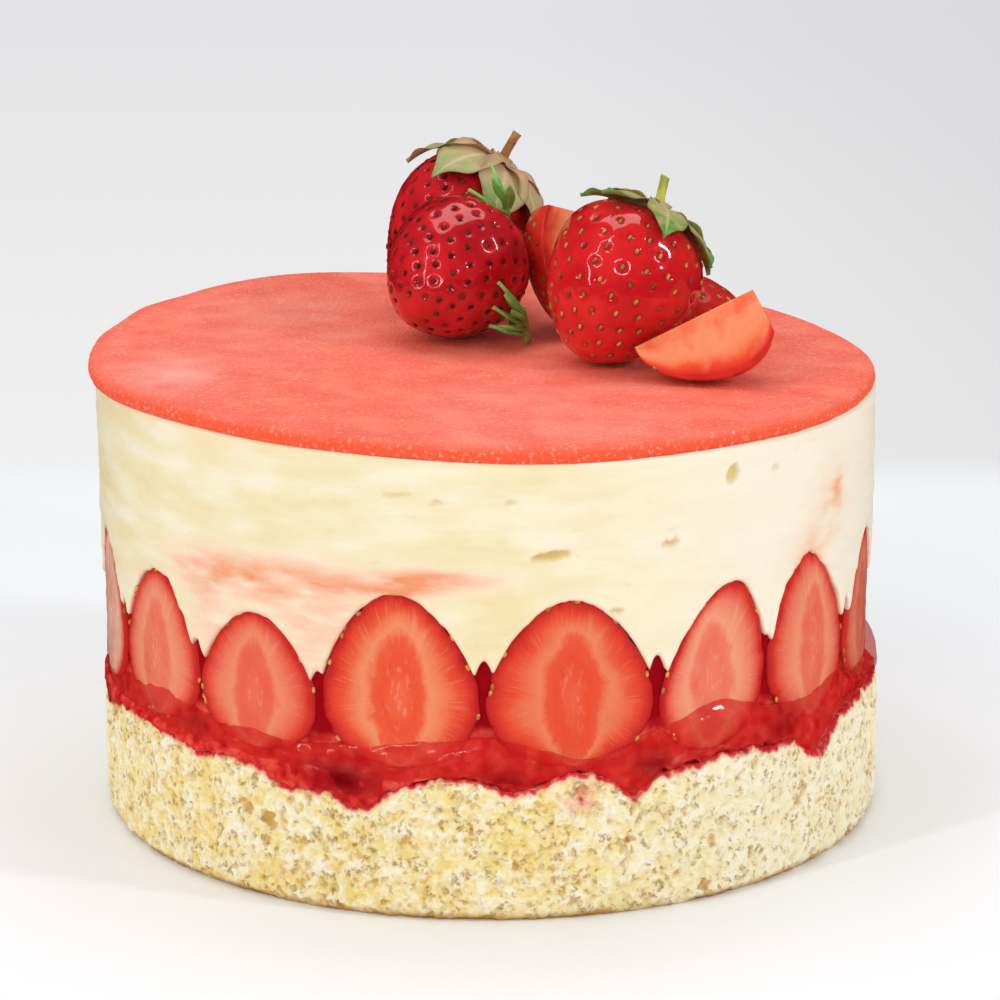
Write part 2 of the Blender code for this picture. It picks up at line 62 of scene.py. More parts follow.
print("the frame has", len(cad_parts), "nodes and reaches", [round(v, 4) for v in cad_high])

# %% [markdown]
# ## The camera
# The picture was taken with a long lens from a little above the cake. A long lens stands far away and makes
# the near and far rims almost the same size. The place and tilt below were worked out from the two ellipses
# that the base and the top make in the photo.

# %% Camera
MM = 0.001
CAMERA_PLACE = (1.65, -675.0, 238.6)
CAMERA_DOWN = 15.0
LENS = 129.64
SENSOR = 36.0

camera = bpy.data.objects.new("camera", bpy.data.cameras.new("camera"))
camera.data.lens = LENS
camera.data.sensor_width = SENSOR
camera.location = [length * MM for length in CAMERA_PLACE]
camera.rotation_euler = (math.radians(90.0 - CAMERA_DOWN), 0.0, 0.0)
bpy.context.scene.collection.objects.link(camera)
bpy.context.scene.camera = camera
print("camera", CAMERA_PLACE, "looks", CAMERA_DOWN, "degrees down")

# %% [markdown]
# ## Light
# Food is photographed in broad, soft light. A tall window on the left gives the long highlights on the
# berries, and the curtain beside it is wide, so that the shadow on the table has a soft edge. A second
# window on the right is weaker, and a pale world fills the shadows. World, curtain and table are kept out of
# the reflections, because a white room all round would lay a veil over everything that is wet. A thin strip
# in front draws the white lines on the jelly, and a very small lamp low on the right makes the little white
# dots. The standard view keeps the colours as they are painted.

# %% Light
WORLD_COLOUR = (0.97, 0.98, 1.0, 1.0)
WORLD_STRENGTH = 0.56
LAMPS = {
    "left_window": dict(place=(-0.98, -0.86, 0.85), size=(0.05, 1.6), power=4.2, colour=(1.0, 0.99, 0.98)),
    "left_curtain": dict(place=(-1.0, -0.9, 0.85), size=(1.0, 1.2), power=3.4, colour=(1.0, 0.99, 0.98)),
    "right_window": dict(place=(1.2, -0.45, 0.9), size=(0.1, 0.35), power=4.4, colour=(0.97, 0.98, 1.0)),
    "top_panel": dict(place=(-0.1, 0.35, 1.5), size=(1.2, 0.8), power=7.5, colour=(1.0, 1.0, 1.0)),
    "front_strip": dict(place=(-0.25, -1.2, 0.45), size=(0.24, 0.03), power=1.0, colour=(1.0, 1.0, 1.0)),
    "small_lamp": dict(place=(0.9, -0.75, 0.35), size=(0.05, 0.05), power=1.4, colour=(1.0, 1.0, 1.0)),
}
UNMIRRORED = ("left_curtain",)


def add_lamp(name, place, size, power, colour):
    """A rectangular lamp, in metres and watts, that faces the middle of the cake."""
    lamp = bpy.data.lights.new(name, "AREA")
    lamp.shape = "RECTANGLE"
    lamp.size, lamp.size_y = size
    lamp.energy = power
    lamp.color = colour
    obj = bpy.data.objects.new(name, lamp)
    obj.location = place
    aim = cad_high.lerp(cad_low, 0.5) - obj.location
    obj.rotation_euler = aim.to_track_quat("-Z", "Y").to_euler()
    obj.visible_glossy = name not in UNMIRRORED
    bpy.context.scene.collection.objects.link(obj)


for name, lamp in LAMPS.items():
    add_lamp(name, **lamp)
world = bpy.data.worlds.new("studio")
world.use_nodes = True
world.node_tree.nodes["Background"].inputs["Color"].default_value = WORLD_COLOUR
world.node_tree.nodes["Background"].inputs["Strength"].default_value = WORLD_STRENGTH
world.cycles_visibility.glossy = False
bpy.context.scene.world = world
bpy.context.scene.view_settings.view_transform = "Standard"
print("lamps:", ", ".join(LAMPS))

# %% [markdown]
# ## Making materials
# Every finish here is a small network of nodes round one Principled shader. A few helpers keep them short.
# One turns a colour as it is written for the screen into the linear light that Blender counts in, and one
# adds a node with its settings and its links. Two more do what nearly every finish needs: lay colours over
# each other, and give the shader its colour and its relief.

# %% Material helpers
USED_OUTPUTS = {"TexCoord": "Object", "Attribute": "Fac", "Mix": 2}


def linear(hex_colour):
    """An sRGB hex colour as linear red, green, blue and 1. Each channel c over 0.04045 becomes
    ((c + 0.055) / 1.055) to the power 2.4, and a darker one c / 12.92."""
    channels = [int(hex_colour[i : i + 2], 16) / 255 for i in (1, 3, 5)]
    light = [c / 12.92 if c <= 0.04045 else ((c + 0.055) / 1.055) ** 2.4 for c in channels]
    return (*light, 1.0)


def add_node(tree, kind, links=None, stops=(), **settings):
    """Adds a node and returns its first output, or the one that USED_OUTPUTS names. settings are its own
    properties, stops the places and colours of a colour ramp, and links gives each input, by name or
    number, a value or the output of another node."""
    node = tree.nodes.new("ShaderNode" + kind)
    for key, value in settings.items():
        setattr(node, key, value)
    for i, (place, colour) in enumerate(stops):
        ramp = node.color_ramp.elements
        element = ramp[i] if i < len(ramp) else ramp.new(place)
        element.position = place
        element.color = linear(colour)
    for key, value in (links or {}).items():
        if isinstance(value, bpy.types.NodeSocket):
            tree.links.new(value, node.inputs[key])
        else:
            node.inputs[key].default_value = value
    return node.outputs[USED_OUTPUTS.get(kind, 0)]


def layered(tree, colour, *layers):
    """A colour with layers of (share, colour) over it: each covers what is below by its share. A colour is
    a hex colour or an output."""
    for share, over in layers:
        below, above = (linear(c) if isinstance(c, str) else c for c in (colour, over))
        colour = add_node(tree, "Mix", {0: share, 6: below, 7: above}, data_type="RGBA")
    return colour


def dress(tree, shader, colour, height, strength, deep):
    """Gives the shader its colour, and a relief from a height of which 1 stands for deep millimetres."""
    relief = add_node(tree, "Bump", {"Height": height, "Strength": strength, "Distance": deep * MM})
    tree.links.new(colour, shader.inputs["Base Color"])
    tree.links.new(relief, shader.inputs["Normal"])


def new_material(name, **sockets):
    """A material with one Principled shader, whose named sockets get the given numbers. Returns it, its
    tree, its shader and the place on the object."""
    made = bpy.data.materials.new(name)
    made.use_nodes = True
    shader = made.node_tree.nodes["Principled BSDF"]
    for socket, value in sockets.items():
        shader.inputs[socket.replace("_", " ")].default_value = value
    return made, made.node_tree, shader, add_node(made.node_tree, "TexCoord")


def per_mm(size):
    """The texture scale at which one feature is size millimetres across."""
    return 1.0 / (size * MM)


print("white in linear light:", linear("#ffffff"))

# %% [markdown]
# ## Making surfaces
# Each piece is a grid of points worked out at once with numpy, and then closed into a skin. Rings of points
# run round the piece, and a pole closes each end. The signed volume tells if the faces point out: it is
# negative for a skin that is inside out, and then every face is turned round.

# %% Surface helpers
def points_of(x, y, z):
    """Points from three coordinates, each a number or an array."""
    return np.stack(np.broadcast_arrays(x, y, z), axis=-1)


def once_round(count):
    """Equal turns from 0 to just short of a full circle, in radians."""
    return np.linspace(0.0, 2 * np.pi, count, endpoint=False)


def steps(count):
    """Equal shares from 0 to 1, one for each row of a grid."""
    return np.linspace(0.0, 1.0, count)[:, None]


def unit(vectors):
    """The same directions with a length of 1."""
    return vectors / np.linalg.norm(vectors, axis=-1, keepdims=True)


def outward(points, faces):
    """The faces, turned round if their volume is negative. It is a sixth of the sum of a x b . c over the
    triangles of each face."""
    fans = [(face[0], face[i], face[i + 1]) for face in faces for i in range(1, len(face) - 1)]
    a, b, c = (points[[fan[i] for fan in fans]] for i in range(3))
    if np.einsum("ij,ij->", np.cross(a, b), c) < 0:
        faces = [face[::-1] for face in faces]
    return points, faces


def ring_quads(count, columns, rows):
    """Corner numbers of the quads between each of the first rows rings and the next of count rings."""
    low = np.arange(rows)[:, None] * columns
    high = (np.arange(rows)[:, None] + 1) % count * columns
    here = np.arange(columns)
    there = (here + 1) % columns
    return np.stack([low + here, low + there, high + there, high + here], axis=-1).reshape(-1, 4)


def closed_surface(rings, first, last):
    """Points and faces of a closed skin over rings of shape (rings, columns, 3), with a pole at each end."""
    count, columns = rings.shape[:2]
    here = np.arange(columns)
    there = (here + 1) % columns
    start = count * columns
    top = start - columns
    low_fan = np.stack([np.full(columns, start), there, here], axis=-1)
    high_fan = np.stack([np.full(columns, start + 1), top + here, top + there], axis=-1)
    points = np.concatenate([rings.reshape(-1, 3), [first, last]])
    faces = [*ring_quads(count, columns, count - 1).tolist(), *low_fan.tolist(), *high_fan.tolist()]
    return outward(points, faces)


def hoop_surface(rings):
    """Points and faces of a closed hoop: like closed_surface, but the last ring joins the first."""
    count, columns = rings.shape[:2]
    return outward(rings.reshape(-1, 3), ring_quads(count, columns, count).tolist())


def with_poles(values, first, last):
    """The values of a grid's points, in the order in which closed_surface puts them."""
    return np.concatenate([values.reshape(-1), [first, last]])


def wall_values(values, before, after, below=0, above=0):
    """Numbers for a skin whose wall has so many rings before and after it: the same number for all points
    below the wall, and another for all above it."""
    rows = np.pad(values, ((before, after), (0, 0)), constant_values=((below, above), (0, 0)))
    return with_poles(rows, below, above)


def joined(shapes):
    """Several (points, faces) pairs as one."""
    points = []
    faces = []
    offset = 0
    for shape_points, shape_faces in shapes:
        points.append(shape_points)
        faces += [[corner + offset for corner in face] for face in shape_faces]
        offset += len(shape_points)
    return np.concatenate(points), faces


def add_piece(name, shape, material, slot, stands_for=(), **values):
    """A mesh piece from points in millimetres and faces. values are numbers for each point, which the
    material reads as attributes."""
    points, faces = shape
    mesh = bpy.data.meshes.new(name)
    mesh.from_pydata(points * MM, [], faces)
    mesh.shade_smooth()
    for label, numbers in values.items():
        attribute = mesh.attributes.new(label, "FLOAT", "POINT")
        attribute.data.foreach_set("value", np.asarray(numbers, np.float32))
    mesh.materials.append(material)
    obj = bpy.data.objects.new(name, mesh)
    bpy.context.scene.collection.objects.link(obj)
    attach(obj, "root")
    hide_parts(*stands_for)
    triangles = sum(len(face) - 2 for face in faces)
    print(f"{name}: {triangles} triangles, top at {points[:, 2].max():.1f} mm")
    return obj


# %% [markdown]
# ## Noise that can be modelled
# A shader can fake roughness, but crumb, pits and dimples that show in outline have to be in the mesh. Two
# kinds of noise do it: a soft one that rises and falls, for hand-made unevenness, and a field of bubbles, for
# the open crumb of a sponge. Both start from a number shuffled out of each cell's place, so they come out the
# same in every run.

# %% Noise
def shuffled(cell, seed):
    """A number from 0 to 1 for each whole-number cell: its place is multiplied by large primes and its bits
    are mixed."""
    x, y, z = (cell[..., i].astype(np.int64).astype(np.uint32) for i in range(3))
    mixed = x * np.uint32(73856093) ^ y * np.uint32(19349663) ^ z * np.uint32(83492791)
    mixed = mixed ^ np.uint32(seed * 7919 + 17)
    for shift, factor in ((16, 0x7FEB352D), (15, 0x846CA68B)):
        mixed = (mixed ^ (mixed >> np.uint32(shift))) * np.uint32(factor)
    return (mixed ^ (mixed >> np.uint32(16))) / 2**32


def soft_noise(points, size, seed):
    """A smooth value from -1 to 1: the shuffled numbers at the corners of each cube of the given size,
    blended with weights 3s^2 - 2s^3 of the shares along its sides."""
    where = points / size
    cell = np.floor(where)
    share = where - cell
    share = share * share * (3 - 2 * share)
    total = 0.0
    for corner in itertools.product((0, 1), repeat=3):
        weight = np.prod(np.where(np.array(corner), share, 1 - share), axis=-1)
        total = total + weight * shuffled(cell + corner, seed)
    return total * 2 - 1


def rough_noise(points, size, seed, layers=3):
    """Soft noise with finer layers, each half as large and half as strong as the one before."""
    return sum(soft_noise(points, size / 2**i, seed + i) / 2**i for i in range(layers))


def bubbles(points, spacing, smallest, largest, seed):
    """How deep a round bubble cuts in at each point: the root of its radius squared less the distance
    squared. One bubble sits at a random place in each cube."""
    cell = np.floor(points / spacing)
    depth = np.zeros(points.shape[:-1])
    for step in itertools.product((-1, 0, 1), repeat=3):
        near = cell + step
        place = np.stack([shuffled(near, seed + i) for i in range(3)], axis=-1)
        radius = smallest + (largest - smallest) * shuffled(near, seed + 3) ** 2
        away = np.sum((points - (near + place) * spacing) ** 2, axis=-1)
        depth = np.maximum(depth, np.sqrt(np.clip(radius**2 - away, 0.0, None)))
    return depth


print("the same number twice:", shuffled(np.array([3, -4, 5]), 1), shuffled(np.array([3, -4, 5]), 1))

# %% [markdown]
# ## The plan of the cake
# Before any surface, the plan: radii and heights of the layers, and where each strawberry half stands. The
# solids follow the same plan, so each surface lies where its solid lies. An angle of 0 is the front, and
# angles grow towards the right.

# %% Plan
GAP = 0.3
SPONGE_R = 75.6
JELLY_R = 75.5
FINGER_R = 73.4
FACE_R = 73.9
CREAM_R = 74.6
MARZIPAN_R = 75.0
CREAM_SHIFT_X = -1.0
MARZIPAN_SHIFT_X = -2.0
SPONGE_TOP = 25.5
JELLY_TOP = 29.0
JELLY_SHELF_R = 62.0
FILM_TOP = 32.6
FILM_SWELLS = [(-55, 8, 2.6), (-34, 6, 1.0), (13, 7, -3.6), (34, 7, 3.5), (62, 8, 3.0)]
FINGER_RISE = 13.5
CAKE_TOP = 87.5
TOP_TILT = -0.025
MARZIPAN_THICKNESS = 3.2
RIM_RISES = [(-60, 6, 0.8), (-5, 4, 1.2), (12, 5, 1.8), (36, 8, 1.6), (70, 9, 2.0)]
RIM_HOLLOWS = [
    (-76, 5, -3.0),
    (-45, 2.5, -1.5),
    (-28, 5, -3.6),
    (-18, 4.5, -5.4),
    (4, 3, -1.6),
    (20, 2.8, -4.2),
    (54, 4, -4.6),
]
FRONT_HALVES = [
    (-76.0, 10.1, 58.0, 0.0),
    (-55.2, 10.3, 56.5, 1.0),
    (-34.2, 10.2, 53.8, 0.5),
    (-11.8, 11.4, 60.3, -0.5),
    (12.2, 12.0, 59.3, -0.5),
    (33.4, 9.1, 59.0, 3.2),
    (54.6, 10.1, 60.0, -2.2),
    (75.4, 10.6, 57.5, 1.0),
]
HALVES_BEHIND = 8
HALF_FOOT = 28.0
HALF_DEPTH = 12.5
HALF_TAPER = 0.3


def on_cake(angle, radius, height, shift_x=0.0):
    """Points at an angle, a radius and a height: x is r sin(angle) + shift, and y is -r cos(angle)."""
    turn = np.radians(angle)
    x = radius * np.sin(turn) + shift_x
    y = -radius * np.cos(turn)
    return points_of(x, y, height)


def level_rings(angle, radii, height, shift_x=0.0):
    """A level ring of points for each radius, for the flat parts under and over a wall."""
    return np.stack([on_cake(angle, radius, height, shift_x) for radius in radii])


def away_from(angle, centre):
    """How far each angle is from a centre, between -180 and 180 degrees."""
    return (angle - centre + 180.0) % 360.0 - 180.0


def bumps(angle, places):
    """The sum over (centre, width, height) of height x exp(-(distance / width) squared)."""
    total = np.zeros_like(angle)
    for centre, width, height in places:
        total += height * np.exp(-((away_from(angle, centre) / width) ** 2))
    return total


def soft_ovals(angle, height, places):
    """Soft ovals on the side of the cake: the sum of strength x exp(-distance squared), at most 1."""
    total = np.zeros(np.broadcast(angle, height).shape)
    for place in places:
        across = away_from(angle, place["angle"]) / place["wide"]
        total += place["strong"] * np.exp(-(across**2) - ((height - place["height"]) / place["tall"]) ** 2)
    return np.clip(total, 0.0, 1.0)


def ring_of_halves():
    """Angle, half width, tip height and lean of every half. Those behind share what is left of the ring."""
    halves = list(FRONT_HALVES)
    spare = 0.4
    start = FRONT_HALVES[-1][0] + FRONT_HALVES[-1][1] + spare
    stop = FRONT_HALVES[0][0] - FRONT_HALVES[0][1] - spare + 360.0
    pitch = (stop - start) / HALVES_BEHIND
    rng = np.random.default_rng(16)
    for i in range(HALVES_BEHIND):
        half_width = pitch / 2 - rng.uniform(0.4, 0.9)
        tip = rng.uniform(54.0, 60.5)
        halves.append((start + pitch * (i + 0.5), half_width, tip, rng.uniform(-2.0, 2.0)))
    return halves


def gaps_between(halves):
    """The angles halfway between neighbouring halves."""
    gaps = []
    for i, (angle, half_width, _, _) in enumerate(halves):
        before = halves[i - 1][0] + halves[i - 1][1]
        if i == 0:
            before -= 360.0
        gaps.append((before + angle - half_width) / 2)
    return gaps


HALVES = ring_of_halves()
GAPS = gaps_between(HALVES)
print(len(HALVES), "halves stand round the cake")

# %% [markdown]
# ## Edges of the layers
# The layers don't meet in straight lines. Jelly ran into the hollows of the sponge, rose over the feet of the
# berries and filled the gaps between them, and the marzipan was cut and laid by hand. Each edge is one small
# function of the angle.

# %% Edges
def hidden_hollows():
    """Hollows like those in front, spread over the back."""
    rng = np.random.default_rng(5)
    places = range(100, 280, 24)
    return [(angle + rng.uniform(-6, 6), rng.uniform(3, 5), -rng.uniform(1.5, 5)) for angle in places]


def sponge_rim(angle):
    """The height of the sponge's top edge: flat, with smooth rises and hollows."""
    return SPONGE_TOP + bumps(angle, RIM_RISES + RIM_HOLLOWS + hidden_hollows())


def film_top(angle):
    """How high the jelly laps over the feet of the halves: two sine waves and a few swells."""
    turn = np.radians(angle)
    wave = 1.3 * np.sin(3 * turn + 0.7) + 0.8 * np.sin(8 * turn + 2.0)
    return FILM_TOP + wave + bumps(angle, FILM_SWELLS)


def jelly_between(angle):
    """The height of the jelly between the halves: the film, with a swell at each gap."""
    places = [(gap, 2.6, FINGER_RISE + 1.5 * math.sin(1.7 * gap)) for gap in GAPS]
    return film_top(angle) + 0.5 + bumps(angle, places)


def marzipan_plane(x, lift=0.0):
    """The height of the marzipan's top, which leans a little to the right."""
    return CAKE_TOP + TOP_TILT * x + lift


def marzipan_edge(angle):
    """How far the marzipan's outline and height leave a true circle: low waves and a few swells."""
    turn = np.radians(angle)
    outwards = 0.35 * np.sin(5 * turn + 1.0) + 0.25 * np.sin(9 * turn)
    outwards = outwards + bumps(angle, [(-133, 8, 0.8), (-117, 5, 0.6), (-104, 6, -0.9)])
    upwards = bumps(angle, [(-146, 17, 1.2), (10, 20, -0.3), (-70, 18, -0.8)])
    return outwards, upwards


def half_outline(half, turn):
    """Where the rim of a half runs, as degrees to the side and height in millimetres. It is a drop: to the
    side sin(t) (1 - taper cos(t)), and upwards (1 + cos(t)) / 2, with the tip leaning over."""
    _, half_width, tip, lean = half
    rise = (1 + np.cos(turn)) / 2
    drop = np.sin(turn) * (1 - HALF_TAPER * np.cos(turn)) / (1 + HALF_TAPER**2 / 2)
    return half_width * drop + lean * rise**1.5, HALF_FOOT + (tip - HALF_FOOT) * rise


def above_halves(angle):
    """The height of the halves' upper outline at each angle, and the foot's height in the gaps."""
    turn = np.linspace(-np.pi, np.pi, 721)
    height = np.full_like(angle, HALF_FOOT)
    for half in HALVES:
        side, up = half_outline(half, turn)
        upper = slice(side.argmin(), side.argmax() + 1)
        away = away_from(angle, half[0])
        over = np.interp(away, side[upper], up[upper], left=HALF_FOOT, right=HALF_FOOT)
        height = np.maximum(height, over)
    return height


def lit_from_right(angle):
    """0 left of the middle and 1 towards the right: painted light, paler where the right window shines."""
    return np.clip((np.sin(np.radians(angle)) - 0.1) / 0.55, 0.0, 1.0)


front = np.array([-55.2, -34.2, -11.8, 12.2, 33.4, 54.6])
print("jelly over the front halves, in mm:", film_top(front).round(1))

# %% [markdown]
# ## The sponge: shape
# A cut sponge is an open crumb: torn tufts one to three millimetres across, with small gas bubbles sliced
# open between them. Bump alone would leave the outline smooth, so both are cut into a fine grid of points,
# finest in front. The places are pushed about a little first, which makes the round holes ragged.

# %% Sponge shape
FRONT_COLUMNS = 780
BACK_COLUMNS = 480
SPONGE_ROWS = 72
CRUMB_LAYERS = [
    dict(spacing=1.2, smallest=0.15, largest=0.6, seed=11),
    dict(spacing=2.3, smallest=0.2, largest=1.0, seed=23),
    dict(spacing=7.0, smallest=0.2, largest=1.9, seed=31),
]
EDGE_ROUNDING = 1.6


def crumb(points):
    """How deep the crumb is hollowed at each point, and how far tufts stand out, in millimetres."""
    push = np.stack([rough_noise(points, 1.4, 40 + 4 * i) for i in range(3)], axis=-1)
    ragged = points + 0.6 * push
    hollow = np.zeros(points.shape[:-1])
    for layer in CRUMB_LAYERS:
        hollow = np.maximum(hollow, bubbles(ragged, **layer))
    tufts = 0.32 * rough_noise(ragged, 1.8, 52) + 0.18 * rough_noise(points, 0.9, 56, layers=2)
    return hollow, tufts


front_angle = np.linspace(-90.0, 90.0, FRONT_COLUMNS, endpoint=False)
back_angle = np.linspace(90.0, 270.0, BACK_COLUMNS, endpoint=False)
angle = np.concatenate([front_angle, back_angle])
share = steps(SPONGE_ROWS)
rim = sponge_rim(angle) + 0.6 * rough_noise(on_cake(angle, SPONGE_R, 0.0), 2.0, 60)
height = share * rim
round_off = EDGE_ROUNDING * np.clip(1 - height / 3.0, 0.0, 1.0) ** 2.5
radius = SPONGE_R - 0.35 - round_off - 0.5 * np.clip(share * 5 - 4, 0.0, 1.0) ** 2
hollow, tufts = crumb(on_cake(angle, radius, height))
hollow *= np.clip(height / 1.2, 0.25, 1.0)
wall = on_cake(angle, np.minimum(radius - 0.75 * hollow + tufts, SPONGE_R + 0.05), height)
under = level_rings(angle, (20.0, 50.0, 68.0), 0.0)
over = level_rings(angle, (70.0, 50.0, 20.0), SPONGE_TOP)
sponge_shape = closed_surface(np.concatenate([under, wall, over]), (0, 0, 0), (0, 0, SPONGE_TOP))
print("deepest hollow:", round(float(hollow.max()), 2), "mm")

# %% [markdown]
# ## The sponge: finish
# Fresh sponge is pale yellow and matt. Raised tufts are painted almost white, a painted highlight where they
# catch the light. Hollows are painted ochre as painted shade, since light that comes back out of them has been
# through more crumb. The foot has a thin golden crust from the tin, and jelly has soaked into the top edge and
# one patch below it. The finest pores are too small for the grid, so the shader adds them as dark cells of
# painted shade with a relief.

# %% Sponge finish
SOAKED_PATCH = dict(angle=12.5, height=22.5, wide=3.4, tall=4.2, strong=0.7)
SOAKED_DEEP = 1.1
PORE_PUSH = 2.6


def soaked_share(angle, height, rim):
    """How much jelly has soaked in: falls off with the distance below the rim, plus one round patch."""
    at_rim = np.exp(-(((rim - height) / SOAKED_DEEP) ** 2))
    return np.clip(at_rim + soft_ovals(angle, height, [SOAKED_PATCH]), 0.0, 1.0)


# Open matt crumb: rough, with hardly any gloss
sponge_crumb, tree, shader, place = new_material("sponge_crumb", Roughness=0.95, Specular_IOR_Level=0.1)
patches = add_node(tree, "TexNoise", {"Vector": place, "Scale": per_mm(7), "Detail": 3})
grains = add_node(tree, "TexNoise", {"Vector": place, "Scale": per_mm(0.8), "Detail": 4})
# Painted highlight: the raised tufts push the colour towards the palest stops.
raised = add_node(tree, "Attribute", attribute_name="raised")
both = add_node(tree, "Math", {0: patches, 1: raised}, operation="ADD")
light = add_node(tree, "Math", {0: both, 1: grains}, operation="ADD")
lit = add_node(tree, "MapRange", {"Value": light, "From Min": 1.0, "From Max": 2.0})
stops = [(0.05, "#f1d684"), (0.35, "#f6e09c"), (0.6, "#f9e9ba"), (0.9, "#fcf3d8")]
crumb_colour = add_node(tree, "ValToRGB", {"Fac": lit}, stops=stops)
# Painted light: paler towards the right, where the window on the right lights the sponge.
right_window_light = add_node(tree, "Attribute", attribute_name="pale")
pale = add_node(tree, "Math", {0: right_window_light, 1: 0.55}, operation="MULTIPLY")
# Painted shade: the crumb's hollows are painted ochre.
hollow_shade = add_node(tree, "Attribute", attribute_name="hollow")
deep = add_node(tree, "MapRange", {"Value": hollow_shade, "From Min": 0.15, "From Max": 0.9, "To Max": 0.85})
# Painted shade: the fine pores are painted a dark ochre.
push = {0: grains.node.outputs["Color"], 1: (PORE_PUSH * MM,) * 3, 2: place}
pushed = add_node(tree, "VectorMath", push, operation="MULTIPLY_ADD")
pores = add_node(tree, "TexVoronoi", {"Vector": pushed, "Scale": per_mm(1.5)})
near_pore = {"Value": pores, "From Min": 0.12, "From Max": 0.42, "To Min": 0.85, "To Max": 0.0}
pore = add_node(tree, "MapRange", near_pore)
open_crumb = add_node(tree, "TexNoise", {"Vector": place, "Scale": per_mm(4), "Detail": 2})
some = add_node(tree, "MapRange", {"Value": open_crumb, "From Min": 0.38, "From Max": 0.55})
pore_share = add_node(tree, "Math", {0: pore, 1: some}, operation="MULTIPLY")
toasted = add_node(tree, "TexNoise", {"Vector": place, "Scale": per_mm(2.6), "Detail": 4})
speck = add_node(tree, "MapRange", {"Value": toasted, "From Min": 0.64, "From Max": 0.72, "To Max": 0.6})
browned = add_node(tree, "Attribute", attribute_name="crust")
uneven = add_node(tree, "MapRange", {"Value": patches, "From Min": 0.3, "From Max": 0.55})
brown = add_node(tree, "Math", {0: browned, 1: uneven}, operation="MULTIPLY")
wet = add_node(tree, "Attribute", attribute_name="soaked")
specks = add_node(tree, "TexNoise", {"Vector": place, "Scale": per_mm(1.5), "Detail": 3})
spread = add_node(tree, "Math", {0: wet, 1: specks}, operation="ADD")
pink = add_node(tree, "MapRange", {"Value": spread, "From Min": 0.8, "From Max": 1.4, "To Max": 0.85})
red = add_node(tree, "MapRange", {"Value": spread, "From Min": 1.2, "From Max": 1.5})
stained = layered(
    tree, crumb_colour, (pale, "#fbf3da"), (deep, "#d8ab50"), (pore_share, "#d8a24c"), (speck, "#d59a58"),
    (brown, "#cb9440"), (pink, "#ec8270"), (red, "#d83038"),
)
pitted = add_node(tree, "Math", {0: grains, 1: pore_share}, operation="SUBTRACT")
dress(tree, shader, stained, pitted, 0.8, 0.5)

add_piece(
    "sponge_base", sponge_shape, sponge_crumb, "sponge", ["sponge"],
    hollow=wall_values(np.clip(hollow / 1.1, 0, 1), 3, 3),
    raised=wall_values(np.clip(0.5 + tufts * 1.2, 0, 1), 3, 3, 0.5, 0.5),
    crust=wall_values(np.clip(1.25 - height / 1.5, 0.0, 1.0), 3, 3, 1, 0),
    soaked=wall_values(soaked_share(angle, height, rim), 3, 3, 0, 1),
    pale=wall_values(lit_from_right(angle) + np.zeros_like(height), 3, 3),
)

# %% [markdown]
# ## The jelly: shape
# Two things make the red band. A body of jelly lies on the sponge and fills the gaps between the berries. A
# clear film runs round in front of it and laps over the feet of the berries, with a wet, bulging edge. They
# are modelled apart, because one is cloudy and the other is clear, and together they take the place of the
# jelly's solid. The film's back is buried in the berries and the body, so that only its front is seen. Both
# know where the jelly is painted darker, in the gaps between the halves: partly because it is thick there,
# and partly as painted shade.

# %% Jelly shape
JELLY_COLUMNS = 960
BODY_ROWS = 44
FILM_ROWS = 34
FILM_REACH = 75.65
BULGE = dict(angle=-8.0, height=29.0, wide=8.0, tall=2.6, out=0.6)
# Dark places low in the gaps between the halves: thick jelly, and painted shade.
THICK_AND_SHADED_PLACES = [
    dict(angle=-21.0, height=25.0, wide=5.5, tall=3.2, strong=1.0),
    dict(angle=2.0, height=26.5, wide=3.0, tall=2.0, strong=0.7),
    dict(angle=23.0, height=27.5, wide=3.0, tall=2.6, strong=0.7),
    dict(angle=46.0, height=29.0, wide=3.0, tall=3.0, strong=0.6),
    dict(angle=-46.0, height=29.5, wide=3.0, tall=2.0, strong=0.5),
]

angle = np.linspace(0.0, 360.0, JELLY_COLUMNS, endpoint=False)
ragged = 0.8 * rough_noise(on_cake(angle, JELLY_R, 0.0), 2.0, 70)
low = sponge_rim(angle) - 0.5 + ragged
high = film_top(angle) + 0.5 * rough_noise(on_cake(angle, JELLY_R, 20.0), 6.0, 74)

share = steps(BODY_ROWS)
height = low + 0.6 + (jelly_between(angle) + 0.9 - low) * share
flow = 0.2 * rough_noise(on_cake(angle, FINGER_R, height), 3.5, 88)
foot = np.clip((HALF_FOOT - height) / 1.5, 0.0, 1.0)
body = on_cake(angle, FINGER_R - 0.1 + flow + 1.2 * foot, height, CREAM_SHIFT_X)
shelf = level_rings(angle, (JELLY_SHELF_R, 30.0), JELLY_TOP)
below = level_rings(angle, (30.0, 66.0), SPONGE_TOP + GAP)
rings = np.concatenate([below, body, shelf])
body_shape = closed_surface(rings, (0, 0, SPONGE_TOP + GAP), (0, 0, JELLY_TOP))
# Painted shade, with the depth of the jelly: darker above the film, in the gaps up under the cream.
above_film = np.clip((height - high) / 2.0, 0.0, 1.0)
body_thick = np.maximum(above_film, soft_ovals(angle, height, THICK_AND_SHADED_PLACES))

